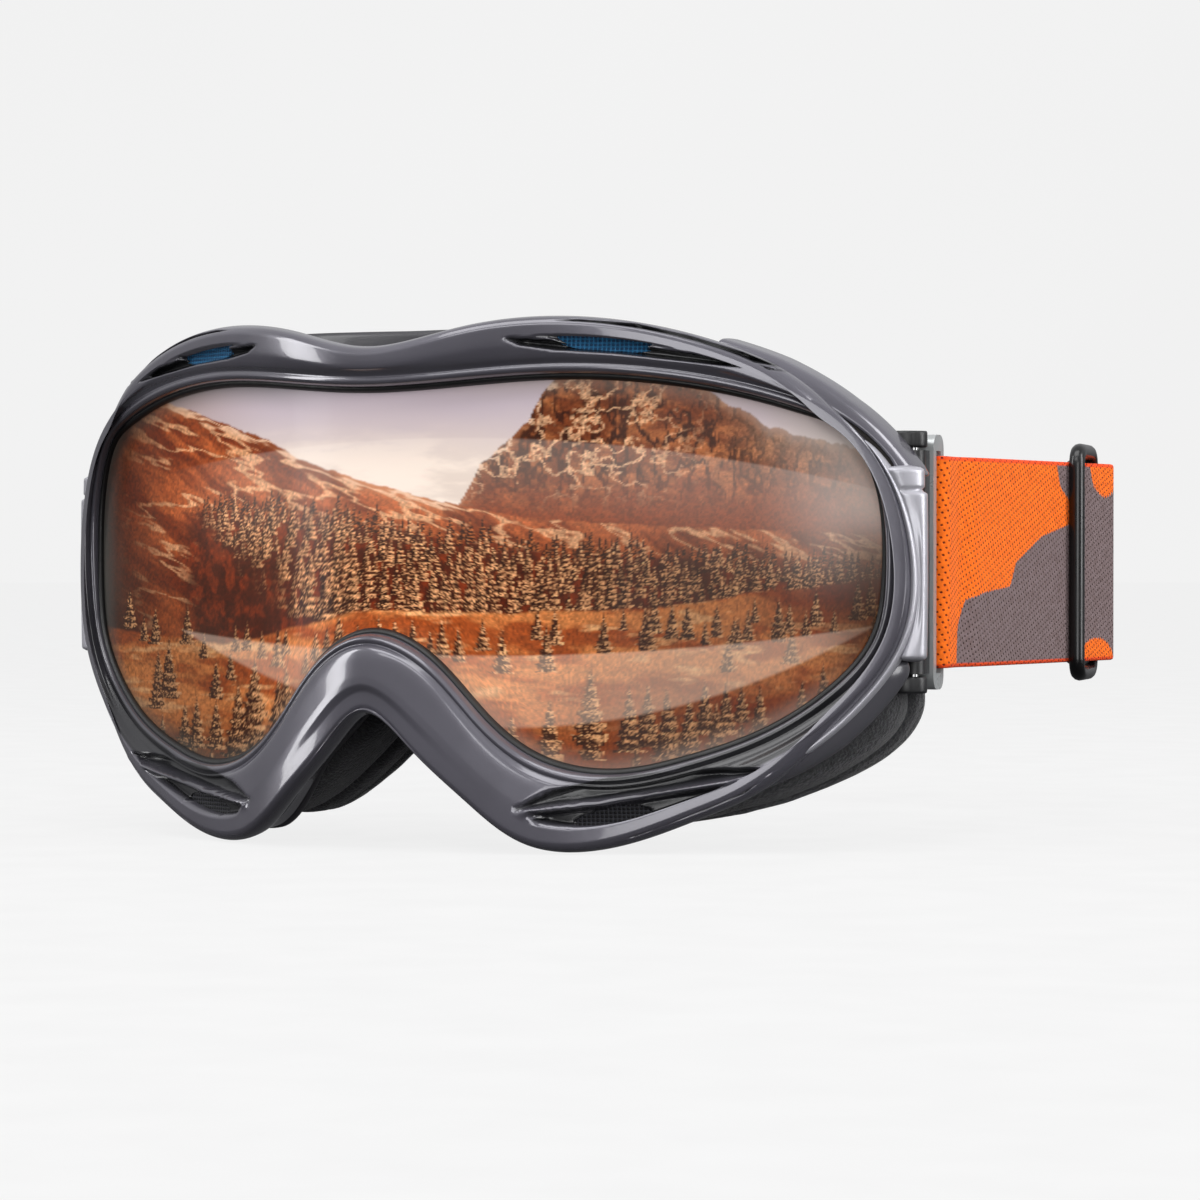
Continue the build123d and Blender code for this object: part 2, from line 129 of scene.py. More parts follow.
def depth_at(x, plan):
    """Y on a face that is flat in the middle and sweeps back to the sides. plan is (base, sweep, power)."""
    base, sweep, power = plan
    soft = 0.16 ** 2
    low, high = soft ** (power / 2), (1 + soft) ** (power / 2)
    bend = ((np.asarray(x, float) / HALF_LENS) ** 2 + soft) ** (power / 2)
    return base + sweep * (bend - low) / (high - low)


def to_metres(points):
    out = np.array(points, float)
    out[..., 1] += FRONT_Y
    return out * 0.001


def smoothstep(low, high, value):
    t = np.clip((value - low) / (high - low), 0, 1)
    return t * t * (3 - 2 * t)


class ClosedCurve:
    """A smooth closed curve through a half list of (x, z) points and their mirror images."""

    def __init__(self, half, knots=None):
        right = np.array(half, float)
        left = right[-2:0:-1] * (-1, 1)
        self.points = np.vstack([right, left])
        count = len(self.points)
        steps = np.hypot(*(np.roll(self.points, -1, 0) - self.points).T)
        self.knots = np.concatenate([[0], np.cumsum(steps)]) if knots is None else knots
        gap = np.diff(self.knots)
        matrix = np.zeros((count, count))
        side = np.zeros((count, 2))
        for i in range(count):
            before, after = gap[i - 1], gap[i]
            matrix[i, i - 1] = before
            matrix[i, i] = 2 * (before + after)
            matrix[i, (i + 1) % count] = after
            side[i] = 6 * ((self.points[(i + 1) % count] - self.points[i]) / after
                           - (self.points[i] - self.points[i - 1]) / before)
        self.curve = np.linalg.solve(matrix, side)

    def at(self, where):
        """Points at distances measured in the knots' own unit."""
        where = np.mod(where, self.knots[-1])
        i = np.clip(np.searchsorted(self.knots, where, "right") - 1, 0, len(self.points) - 1)
        j = (i + 1) % len(self.points)
        gap = (self.knots[i + 1] - self.knots[i])[:, None]
        a = (self.knots[i + 1] - where)[:, None]
        b = (where - self.knots[i])[:, None]
        return (self.curve[i] * a ** 3 + self.curve[j] * b ** 3) / (6 * gap) \
            + (self.points[i] / gap - self.curve[i] * gap / 6) * a \
            + (self.points[j] / gap - self.curve[j] * gap / 6) * b

    def spread(self, count):
        """Evenly spaced distances round the whole curve."""
        return np.linspace(0, self.knots[-1], count, endpoint=False)


def paired_curves(stations):
    inner = [a for a, b in stations]
    outer = [b for a, b in stations]
    outside = ClosedCurve(outer)
    return ClosedCurve(inner, outside.knots), outside


LENS_EDGE, FRAME_EDGE = paired_curves(STATIONS)
FOAM_INNER, FOAM_OUTER = paired_curves(FOAM_STATIONS)


def rounded(section, times=2):
    """Corner cutting, which rounds a closed list of section points."""
    points = np.array(section, float)
    for _ in range(times):
        following = np.roll(points, -1, 0)
        first, second = 0.75 * points + 0.25 * following, 0.25 * points + 0.75 * following
        points = np.stack([first, second], 1).reshape(-1, points.shape[1])
    return points


def mesh_piece(name, points, faces, material, body="frame", replaces=()):
    """A new mesh from millimetre points, riding on a body."""
    mesh = bpy.data.meshes.new(name)
    mesh.from_pydata(to_metres(points).reshape(-1, 3).tolist(), [], np.asarray(faces, object).tolist())
    mesh.validate()
    work = bmesh.new()
    work.from_mesh(mesh)
    bmesh.ops.recalc_face_normals(work, faces=work.faces)
    work.to_mesh(mesh)
    work.free()
    mesh.polygons.foreach_set("use_smooth", [True] * len(mesh.polygons))
    mesh.materials.append(material)
    piece = bpy.data.objects.new(name, mesh)
    bpy.context.scene.collection.objects.link(piece)
    if body:
        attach(piece, body)
    if replaces:
        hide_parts(*replaces)
    return piece


def set_values(piece, name, values):
    """Store one number on each vertex, for the material to read."""
    data = piece.data.attributes.new(name, "FLOAT", "POINT")
    data.data.foreach_set("value", np.asarray(values, np.float32).ravel())


def grid_faces(rows, columns, wrap_rows, wrap_columns, caps=False):
    """Quads over a rows by columns grid of points, and the two end caps of an open tube."""
    r = np.arange(rows if wrap_rows else rows - 1)
    c = np.arange(columns if wrap_columns else columns - 1)
    r, c = [g.ravel() for g in np.meshgrid(r, c, indexing="ij")]
    r2, c2 = (r + 1) % rows, (c + 1) % columns
    quads = np.stack([r * columns + c, r * columns + c2, r2 * columns + c2, r2 * columns + c], 1).tolist()
    if caps:
        quads.append(list(range(columns)))
        quads.append([(rows - 1) * columns + i for i in range(columns)])
    return quads


def ring_faces(points):
    """Faces of a section swept all the way round."""
    return grid_faces(*points.shape[:2], True, True)


def tube_faces(points):
    """Faces of a section swept from end to end, with a cap on each."""
    return grid_faces(*points.shape[:2], False, True, True)


def station_at(where):
    """The station number at each place round the outline, the same on both halves."""
    knots = FRAME_EDGE.knots
    number = np.interp(np.mod(where, knots[-1]), knots, range(len(knots)))
    return np.minimum(number, len(knots) - 1 - number)


def pull_at(where, table):
    stations, shares = zip(*table)
    return smoothstep(0, 1, np.interp(station_at(where), stations, shares))


def station_sweep(where, section, grow=0.0):
    """Section points carried round from the lens edge to the frame edge: (steps, section, 3)."""
    inner, outer = LENS_EDGE.at(where), FRAME_EDGE.at(where)
    across = outer - inner
    width = np.hypot(*across.T)[:, None]
    unit = across / width
    share, offset, depth, plan = np.array(section, float).T[:4]
    reach = share[None] * width + offset[None] + grow
    flat = inner[:, None] + unit[:, None] * reach[..., None]
    x = flat[..., 0]
    y = (1 - plan) * depth_at(x, LENS_PLAN) + plan * depth_at(x, FRAME_BACK_PLAN) + depth
    return np.stack([x, y, flat[..., 1]], -1)


def line_at(x, line):
    xs, zs = zip(*line)
    return np.interp(x, xs, zs)


def scoop(x, z, low, high, depth, edge):
    """Depth of a hollow between two lines, with ends that close in a point."""
    start, stop = max(low[0][0], high[0][0]), min(low[-1][0], high[-1][0])
    inside = np.minimum(z - line_at(x, low), line_at(x, high) - z)
    inside = np.where((x > start) & (x < stop), inside, -1)
    return depth * smoothstep(0, edge, inside)


def in_slot(x, z, slot):
    """How far inside a slanted ellipse a point is: 1 at the centre, 0 on the edge."""
    cx, cz, half_length, half_height, slant = slot
    turn = math.radians(slant)
    u = (x - cx) * math.cos(turn) + (z - cz) * math.sin(turn)
    v = -(x - cx) * math.sin(turn) + (z - cz) * math.cos(turn)
    return 1 - np.hypot(u / half_length, v / half_height)


# ---------------------------------------------------------------- materials

def rgb(text):
    """Linear colour from an sRGB hex string."""
    values = [int(text[i:i + 2], 16) / 255 for i in (0, 2, 4)]
    return [v / 12.92 if v <= 0.04045 else ((v + 0.055) / 1.055) ** 2.4 for v in values]


class Nodes:
    """A short way to write a node tree."""

    def __init__(self, name):
        self.material = bpy.data.materials.new(name)
        self.material.use_nodes = True
        self.tree = self.material.node_tree
        self.shader = self.tree.nodes["Principled BSDF"]
        self.where = None

    def add(self, kind, inputs=None, **settings):
        node = self.tree.nodes.new(kind)
        for key, value in settings.items():
            setattr(node, key, value)
        for key, value in (inputs or {}).items():
            self.set(node.inputs[key], value)
        return node

    def set(self, socket, value):
        if isinstance(value, bpy.types.NodeSocket):
            self.tree.links.new(value, socket)
        elif isinstance(value, str):
            socket.default_value = (*rgb(value), 1)
        else:
            socket.default_value = value

    def shade(self, **values):
        for key, value in values.items():
            self.set(self.shader.inputs[key.replace("_", " ")], value)
        return self.material

    def place(self):
        if self.where is None:
            self.where = self.add("ShaderNodeTexCoord").outputs["Object"]
        return self.where

    def noise(self, scale, detail=3.0, rough=0.5):
        node = self.add("ShaderNodeTexNoise", {"Vector": self.place(), "Scale": scale,
                                                "Detail": detail, "Roughness": rough})
        return node.outputs["Fac"]

    def attribute(self, name, output="Fac"):
        return self.add("ShaderNodeAttribute", attribute_name=name).outputs[output]

    def remap(self, value, low, high, to_low=0.0, to_high=1.0):
        limits = {"Value": value, "From Min": low, "From Max": high, "To Min": to_low, "To Max": to_high}
        return self.add("ShaderNodeMapRange", limits).outputs["Result"]

    def math(self, kind, *values):
        node = self.add("ShaderNodeMath", operation=kind)
        for i, value in enumerate(values):
            self.set(node.inputs[i], value)
        return node.outputs[0]

    def ramp(self, value, low, high, low_colour, high_colour):
        return self.mix(self.remap(value, low, high), low_colour, high_colour)

    def mix(self, share, first, second, blend="MIX"):
        # The colour form of this node has its colours on inputs 6 and 7, and its result on output 2.
        node = self.add("ShaderNodeMix", data_type="RGBA", blend_type=blend)
        self.set(node.inputs["Factor"], share)
        self.set(node.inputs[6], first)
        self.set(node.inputs[7], second)
        return node.outputs[2]

    def bump(self, height, distance):
        node = self.add("ShaderNodeBump", {"Height": height, "Distance": distance, "Strength": 1.0})
        self.tree.links.new(node.outputs["Normal"], self.shader.inputs["Normal"])


def moulded(name, dark, light, rough, coat=0.0, metal=0.0, lift=0.00003, specular=0.5,
            painted_recess_shade=None):
    """Moulded plastic or metal: slow colour drift, a little grain, slightly uneven gloss, and painted shade
    in the vent hollows where asked.
    """
    n = Nodes(name)
    drift = n.noise(35.0, 4.0)
    fine = n.noise(900.0, 2.0)
    rough_value = n.remap(n.noise(120.0, 5.0), 0.3, 0.7, rough * 0.85, rough * 1.2)
    n.bump(fine, lift)
    colour = n.ramp(drift, 0.3, 0.7, dark, light)
    if painted_recess_shade:
        # The vent hollows get painted shade, a darker colour, and are duller than the face around them, with
        # less metal and coat.
        inside = n.attribute("painted_recess_shade")
        open_share = n.math("SUBTRACT", 1.0, n.math("MULTIPLY", inside, 0.9))
        colour = n.mix(inside, colour, painted_recess_shade)
        metal, coat = n.math("MULTIPLY", open_share, metal), n.math("MULTIPLY", open_share, coat)
    return n.shade(Base_Color=colour, Roughness=rough_value,
                   Metallic=metal, Coat_Weight=coat, Coat_Roughness=0.05, Specular_IOR_Level=specular)


def foam_material(name, dark, light, pore, depth, sheen):
    """Open foam or fleece: pores or fibres in the bump, speckled colour, soft sheen."""
    n = Nodes(name)
    cells = n.add("ShaderNodeTexVoronoi", {"Vector": n.place(), "Scale": pore}).outputs["Distance"]
    fuzz = n.noise(pore * 1.7, 4.0, 0.7)
    height = n.math("ADD", n.math("MULTIPLY", cells, 0.7), fuzz)
    n.bump(height, depth)
    speckle = n.ramp(n.noise(pore * 0.6, 5.0, 0.75), 0.35, 0.68, dark, light)
    return n.shade(Base_Color=speckle, Roughness=0.95, Sheen_Weight=sheen, Sheen_Roughness=0.6,
                   Specular_IOR_Level=0.2)


def screen_material(name, dark, light):
    """Woven vent screen: square openings between fine threads."""
    n = Nodes(name)
    split = n.add("ShaderNodeSeparateXYZ", {"Vector": n.place()})
    # One thread every 0.7 mm.
    turns = math.pi / 0.0007
    level, upright = [n.math("ABSOLUTE", n.math("SINE", n.math("MULTIPLY", split.outputs[axis], turns)))
                      for axis in ("X", "Z")]
    weave = n.math("MULTIPLY", level, upright)
    n.bump(weave, 0.0002)
    return n.shade(Base_Color=n.ramp(weave, 0.15, 0.6, light, dark), Roughness=0.7)


def webbing_material(name, orange, grey, edge):
    """Printed elastic webbing. The mesh carries the distance along, across, and the print's edge."""
    n = Nodes(name)
    along, across, printed = n.attribute("along"), n.attribute("across"), n.attribute("print")
    rib_place = n.math("ADD", along, n.math("MULTIPLY", across, 0.4))
    thread_place = n.math("SUBTRACT", across, n.math("MULTIPLY", along, 0.45))
    rib = n.math("SINE", n.math("MULTIPLY", rib_place, 6.3))
    thread = n.math("SINE", n.math("MULTIPLY", thread_place, 5.6))
    holes = n.math("MULTIPLY", n.math("MAXIMUM", rib, 0.0), n.math("MAXIMUM", thread, 0.0))
    weave = n.math("SUBTRACT", 0.3, n.math("MULTIPLY", holes, 1.6))
    uneven = n.noise(900.0, 3.0)
    wobble = n.math("ADD", printed, n.math("MULTIPLY", n.math("SUBTRACT", uneven, 0.5), 0.5))
    wobble = n.math("ADD", wobble, n.math("MULTIPLY", rib, 0.12))
    base = n.ramp(wobble, -0.12, 0.12, orange, grey)
    border = n.math("ABSOLUTE", across)
    base = n.ramp(border, STRAP_HALF - 0.9, STRAP_HALF - 0.6, base, edge)
    shadow = n.ramp(weave, -0.9, 0.1, "6c4638", "ffffff")
    fibre = n.ramp(uneven, 0.3, 0.6, "e2dcd8", "ffffff")
    for tint in (shadow, fibre):
        base = n.mix(1.0, base, tint, "MULTIPLY")
    n.bump(n.math("ADD", weave, n.math("MULTIPLY", uneven, 0.6)), 0.00009)
    return n.shade(Base_Color=base, Roughness=0.82, Sheen_Weight=0.05, Sheen_Roughness=0.5,
                   Specular_IOR_Level=0.25)


def lens_material():
    """Mirror coating: a painted reflection, the reflected view held in a colour attribute, under a hard clear
    coat; the same colours glow faintly as painted light.
    """
    n = Nodes("mirror_lens")
    view = n.attribute("reflection", "Color")
    haze = n.noise(60.0, 3.0)
    colour = n.mix(n.math("MULTIPLY", haze, 0.05), view, "d9b79c")
    n.bump(n.noise(25.0, 2.0), 0.00002)
    # The emission makes the painted reflection glow faintly: painted light.
    return n.shade(Base_Color=colour, Roughness=0.3, Metallic=0.0, Coat_Weight=0.05, Coat_Roughness=0.08,
                   Specular_IOR_Level=0.05, Emission_Color=colour, Emission_Strength=0.32)


# The colour 1f1f21 is painted shade, laid in the frame's vent hollows, on its lower flank and in its low
# valley.
FRAME_GLOSS = moulded("frame_gloss", "55535b", "615f68", 0.22, coat=0.8, metal=0.3, lift=0.000012,
                      painted_recess_shade="1f1f21")
REAR_SHELL = moulded("rear_shell", "2e2d30", "3a393d", 0.4, coat=0.1)
LOWER_GLOSS = moulded("lower_panel", "4a494e", "57565c", 0.32, coat=0.4, metal=0.1)
# Light grey as a painted highlight: the bright gloss on the goggles' sides, on the side panel and the side
# lip.
SIDE_PAINTED_HIGHLIGHT = moulded("side_panel", "a3a2a9", "b8b7be", 0.34, coat=0.3, metal=0.3, lift=0.00001)
BLACK_GLOSS = moulded("slider_black", "060607", "0c0c0d", 0.3, coat=0.25, lift=0.000015, specular=0.35)
BLACK_PLASTIC = moulded("black_plastic", "161617", "232325", 0.42)
GASKET = moulded("gasket", "0b0b0b", "151515", 0.5, lift=0.00004)
RING_GREY = moulded("ring_grey", "a9acac", "bcbfbf", 0.3, coat=0.2, metal=0.4)
PIN_STEEL = moulded("pin_steel", "9c9c9c", "b4b4b4", 0.25, metal=1.0)
CLEAR_INNER = moulded("inner_lens", "5e564e", "6e655c", 0.12, coat=0.4)
CLIPS = moulded("clips", "2a2a2c", "3a3a3c", 0.4)
SILICONE = moulded("silicone", "2b2b2c", "3a3a3c", 0.55, lift=0.00005)
RUBBER_SPACER = foam_material("spacer_foam", "2a2725", "3d3936", 2500.0, 0.0001, 0.2)
VENT_FOAM = foam_material("vent_foam", "151515", "2a2a2a", 1800.0, 0.0003, 0.1)
FACE_FOAM = foam_material("face_foam", "202022", "3b3b3e", 1500.0, 0.00035, 0.25)
FLEECE = foam_material("fleece", "101011", "26262a", 3200.0, 0.00045, 0.6)
BLUE_SCREEN = screen_material("blue_mesh", "14486e", "2f7cb0")
BLACK_SCREEN = screen_material("black_mesh", "0a0a0c", "34343a")
WEBBING = webbing_material("strap_webbing", "ff7410", "7a696a", "f04c10")
PLAIN_WEBBING = webbing_material("strap_webbing_plain", "5a4d4d", "6b5c5c", "e8551c")

# ---------------------------------------------------------------- carried-over CAD nodes

CARRIED = {
    "inner_lens": CLEAR_INNER, "lens_spacer": RUBBER_SPACER, "lens_clips": CLIPS,
    "grip_strips": SILICONE, "top_vent_foam": VENT_FOAM, "bottom_vent_foam": VENT_FOAM,
    "hinge_pin": PIN_STEEL, "outrigger_arm": BLACK_PLASTIC, "outrigger_ring": RING_GREY,
}
for node_name, node in NODES.items():
    for start, material in CARRIED.items():
        if node_name.startswith(start):
            node.data.materials.clear()
            node.data.materials.append(material)

# ---------------------------------------------------------------- front shell

def hollow_depth(x, z):
    """How far the vent hollows press the front shell back at a place on its face."""
    side = np.abs(x)
    depth = scoop(side, z, TOP_LOW, TOP_RIDGE, 3.0, 0.9)
    depth += scoop(side, z, TOP_RIDGE, TOP_HIGH, 4.2, 1.0)
    depth += scoop(side, z, LOW_RIB, LOW_HIGH, 2.2, 1.2)
    depth += scoop(side, z, LOW_EDGE, LOW_RIB, 3.4, 1.2)
    for slot in (TOP_SLOT, LOW_SLOT):
        depth += 6.0 * smoothstep(0.0, 0.12, in_slot(side, z, slot))
    rib = np.exp(-((z - line_at(side, LOW_RIB)) / 0.6) ** 2)
    depth -= 1.0 * rib * smoothstep(27, 31, side) * smoothstep(69, 65, side)
    return depth


def dense_section():
    """The shell's section, with extra points on the flat of the face, where the vent hollows lie."""
    section = rounded(SHELL_SECTION)
    face = [i for i, p in enumerate(section) if p[2] < -3.85 and p[3] == 0]
    first, last = face[0], face[-1]
    extra = np.linspace(0, 1, 34)[1:-1]
    flat = np.stack([np.interp(extra * (last - first) + first, range(len(section)), section[:, k])
                     for k in range(6)], 1)
    return np.vstack([section[:first + 1], flat, section[last:]])


def painted_shade_share(x, z, share, from_lens, valley):
    """How much painted shade each place on the face gets: in the hollows, on the flank above the lower rib,
    and in the low valley.
    """
    side = np.abs(x)
    hollows = ((TOP_LOW, TOP_RIDGE), (TOP_RIDGE, TOP_HIGH), (LOW_RIB, LOW_HIGH), (LOW_EDGE, LOW_RIB))
    tint = sum(scoop(side, z, low, high, 1.0, 0.4) for low, high in hollows)
    above_rib = z - line_at(side, LOW_RIB)
    # The flank above the lower rib gets painted shade as well.
    start = 2.2 - 1.6 * smoothstep(46, 56, side)
    flank_shade = smoothstep(30, 46, side) * smoothstep(36, 27, z) * smoothstep(0.1, 0.5, above_rib)
    flank_shade = flank_shade * smoothstep(0.64, 0.52, share) * smoothstep(-0.4, 0.4, from_lens - start)
    tint = np.maximum(tint, 0.95 * flank_shade)
    # The raised line of the lower rib is mostly spared the painted shade.
    tint = tint * (1 - 0.8 * np.exp(-(above_rib / 0.7) ** 2))
    # The low valley gets painted shade too.
    return np.clip(np.maximum(tint, 0.9 * valley), 0, 1)


def front_shell():
    """The moulded shell round the lens, with its vent hollows."""
    where = FRAME_EDGE.spread(SHELL_STEPS)
    section = dense_section()
    share, offset, depth, plan, side_pull, nose_pull = section.T[:, None]
    pull = pull_at(where, SIDE_PULL)[:, None] * side_pull
    pull = pull + pull_at(where, NOSE_PULL)[:, None] * nose_pull
    points = station_sweep(where, section, -pull)
    x, y, z = points[..., 0], points[..., 1], points[..., 2]
    onface = ((plan == 0) & (depth < -0.4) & (share + offset > 0.01)).astype(float)
    fade = smoothstep(-2.4, -3.6, depth) * onface
    # The distance from the lens edge, large on the flat of the face.
    from_lens = offset + 50 * share
    beyond = smoothstep(2.2, 2.8, from_lens)
    # The low valley is pressed back, and it also gets painted shade.
    valley = pull_at(where, LOW_VALLEY)[:, None] * np.exp(-((share - 0.22 + offset * 0.06) / 0.25) ** 2)
    points[..., 1] = y + hollow_depth(x, z) * fade * beyond + 1.3 * valley * onface
    # The nose bridge stands forward in a soft ridge.
    points[..., 1] -= 0.8 * np.exp(-(x / 9.0) ** 2) * smoothstep(46, 34, z) * fade
    piece = mesh_piece("front_shell", points, ring_faces(points), FRAME_GLOSS,
                       replaces=["front_frame"])
    # Painted shade for the material to read: in the vent hollows, on the lower flank and in the low valley.
    set_values(piece, "painted_recess_shade", painted_shade_share(x, z, share, from_lens, valley) * onface)


def both_sides(name, points, faces, material, replaces=()):
    """The same mesh on the right and mirrored on the left."""
    for side, sign in SIDES:
        mesh_piece(f"{name}_{side}", points * (sign, 1, 1), faces, material,
                   replaces=[f"{node}_{side}" for node in replaces])


def tapered(points, share):
    """A swept solid whose ends close to a small round tip over a share of its length."""
    middle = points.mean(1, keepdims=True)
    ends = np.linspace(0, 1, len(points))
    near = np.clip(np.minimum(ends, 1 - ends) / share, 0, 1)
    size = np.sqrt(np.clip(1 - (1 - near) ** 2, 0.02, 1))
    return middle + (points - middle) * size[:, None, None]


def outline_strip(name, first, last, section, material, grow, steps=160, taper=0.05):
    """A closed section swept along part of the outline. grow is (station, extra width) pairs."""
    knots = FRAME_EDGE.knots
    where = np.linspace(np.interp(first, range(len(knots)), knots),
                        np.interp(last, range(len(knots)), knots), steps)
    extra = np.interp(station_at(where), *zip(*grow))[:, None]
    points = station_sweep(where, rounded(section), extra)
    points = tapered(points, taper)
    both_sides(name, points, tube_faces(points), material)


def side_plate():
    """The upright glossy panel between the front shell's rim and the ring, coloured light grey as a painted
    highlight.
    """
    levels = np.linspace(34.0, 69.5, 90)
    edge = FRAME_EDGE.at(np.linspace(0, FRAME_EDGE.knots[len(STATIONS) - 1], 2000))
    right = edge[edge[:, 0] > 60]
    rows = []
    for level in levels:
        rim = right[np.argmin(np.abs(right[:, 1] - level)), 0] - 2.7
        front = float(depth_at(rim, LENS_PLAN)) - 2.2
        bulge = 1.0 - 0.10 * ((level - 52) / 18) ** 2
        wide = 88.2 + 2.3 * bulge - 0.5 * smoothstep(64.5, 65.3, level)
        rows.append([(rim - 0.6, front + 1.6, level), (rim + 0.5, front - 0.2, level),
                     (rim + 0.45 * (wide - rim), front + 0.35, level), (wide - 0.5, 39.6, level),
                     (wide, 41.2, level), (wide - 1.2, 44.0, level), (wide - 2.5, 47.0, level),
                     (wide - 4.3, 49.3, level), (wide - 6.2, 48.6, level), (rim - 1.0, front + 4.5, level)])
    rows = np.array([rounded(row) for row in rows])
    notch = np.exp(-((levels - 64.9) / 0.35) ** 2)[:, None]
    rows[..., 0] -= 0.9 * notch * smoothstep(86, 88, rows[..., 0])
    points = tapered(rows, 0.03)
    both_sides("side_panel", points, tube_faces(points), SIDE_PAINTED_HIGHLIGHT, ["side_cover"])


front_shell()
side_plate()
# The side lip also takes the light grey painted highlight.
outline_strip("side_lip", 4.9, 10.6,
              [(1, -4.4, -1.0, 0), (1, -3.0, -2.9, 0), (1, -2.5, -3.4, 0), (1, -2.1, -2.6, 0),
               (1, -2.4, 1.0, 0), (1, -4.4, 2.0, 0)],
              SIDE_PAINTED_HIGHLIGHT, ((0, 0), (16, 0)), taper=0.12)
outline_strip("upper_panel", 2.95, 5.42,
              [(1, -4.0, 0.2, 0), (1, -1.4, 0.6, 0), (1, -0.3, 1.6, 0), (1, 0.0, 4.2, 0), (1, 0.0, -1.8, 1),
               (1, -0.4, -0.6, 1), (1, -4.0, -0.4, 1)],
              FRAME_GLOSS,
              ((2.9, 0.7), (3.5, 1.1), (4.2, 0.9), (4.9, 1.3), (5.2, 1.5), (5.5, 1.2)), taper=0.03)
outline_strip("lower_panel", 8.3, 10.9,
              [(1, -4.4, -1.4, 0), (1, -2.2, -1.6, 0), (1, -0.6, 0.4, 0), (1, -0.5, 3.4, 0),
               (1, -2.6, -3.2, 1), (1, -5.6, -3.0, 1)],
              LOWER_GLOSS, ((8, -0.4), (9.6, 0.3), (11, -0.8)), taper=0.1)


def rear_shell():
    """The ring behind the front shell that carries the foam, with a turned edge."""
    where = FRAME_EDGE.spread(RING_STEPS)
    inner = FOAM_INNER.at(where / FRAME_EDGE.knots[-1] * FOAM_OUTER.knots[-1])
    outer = FRAME_EDGE.at(where)
    across = outer - inner
    width = np.hypot(*across.T)[:, None]
    pull = 4.6 * pull_at(where, SIDE_PULL) + 4.6 * pull_at(where, NOSE_PULL)
    section = rounded([(0, 1.6, -2.7, 0), (0, 1.6, -0.1, 0), (1, -3.0, -0.1, 1), (1, -1.6, -0.5, 1),
                       (1, -1.3, -1.6, 1), (1, -1.6, -2.7, 1)])
    share, offset, depth, moved = section.T
    reach = share[None] * width + offset[None] - moved[None] * pull[:, None]
    flat = inner[:, None] + (across / width)[:, None] * reach[..., None]
    y = depth_at(flat[..., 0], FRAME_BACK_PLAN) + depth[None]
    points = np.stack([flat[..., 0], y, flat[..., 1]], -1)
    # Its brow stays level where the front shell dips, so it shows above the dip.
    brow = np.exp(-(points[..., 0] / 18.0) ** 2) * (points[..., 2] > 60)
    points[..., 2] += 5.0 * brow * share[None]
    mesh_piece("rear_shell", points, ring_faces(points), REAR_SHELL, replaces=["rear_frame"])


def hinge_lugs():
    """Four lugs, two on each side, with round ends that hold the hinge pins."""
    turn = np.linspace(-0.35 * math.pi, 0.85 * math.pi, 20)
    pin_x, pin_y, radius = 84.0, 50.2, 2.6
    outline = [(pin_x + radius * math.cos(t), pin_y + radius * math.sin(t)) for t in turn]
    outline += [(79.8, 50.6), (79.6, 46.4), (83.6, 46.4), (85.0, 47.6)]
    outline = np.array(outline)
    middle = outline.mean(0)
    for name, sign in (("upper", 1), ("lower", -1)):
        rows = []
        for height, size in ((-1.5, 0.9), (-1.35, 0.97), (-1.0, 1.0), (1.0, 1.0), (1.35, 0.97), (1.5, 0.9)):
            flat = middle + (outline - middle) * size
            level = np.full(len(flat), STRAP_LEVEL + sign * 22.4 + height)
            rows.append(np.column_stack([flat, level]))
        points = np.array(rows)
        both_sides(f"hinge_lug_{name}", points, tube_faces(points), BLACK_PLASTIC)


rear_shell()
hinge_lugs()


def vent_screen(name, slot, depth, material):
    """A curved oval screen at the bottom of a vent slot, 0.6 mm thick."""
    cx, cz, half_length, half_height, slant = slot
    turn = math.radians(slant)
    around = np.linspace(0, 2 * math.pi, 64, endpoint=False)
    shares = np.linspace(0.02, 1.0, 12)
    rows = []
    for share, back in [(s, 0.0) for s in shares] + [(s, 0.6) for s in shares[::-1]]:
        u = (half_length + 0.5) * share * np.cos(around)
        v = (half_height + 0.5) * share * np.sin(around)
        x = cx + u * math.cos(turn) - v * math.sin(turn)
        z = cz + u * math.sin(turn) + v * math.cos(turn)
        sag = 0.3 * (1 - share ** 2)
        rows.append(np.stack([x, depth_at(x, LENS_PLAN) + depth + sag + back, z], -1))
    points = np.array(rows)
    both_sides(name, points, tube_faces(points), material, [f"{name}_mesh"])


vent_screen("top_vent", TOP_SLOT, -1.9, BLUE_SCREEN)
vent_screen("bottom_vent", LOW_SLOT, -1.0, BLACK_SCREEN)

# ---------------------------------------------------------------- gasket and lens

def gasket():
    """The black line of rubber round the lens edge."""
    where = FRAME_EDGE.spread(RING_STEPS)
    section = rounded([(0, 0.4, 0.0, 0), (0, 0.4, -1.1, 0), (0, -0.1, -1.5, 0), (0, -0.7, -1.1, 0),
                       (0, -1.0, -0.1, 0), (0, -0.6, 0.2, 0)])
    points = station_sweep(where, section)
    mesh_piece("lens_rim_gasket", points, ring_faces(points), GASKET, replaces=["lens_gasket"])


gasket()

LATTICE = np.random.default_rng(7).random((256, 256))


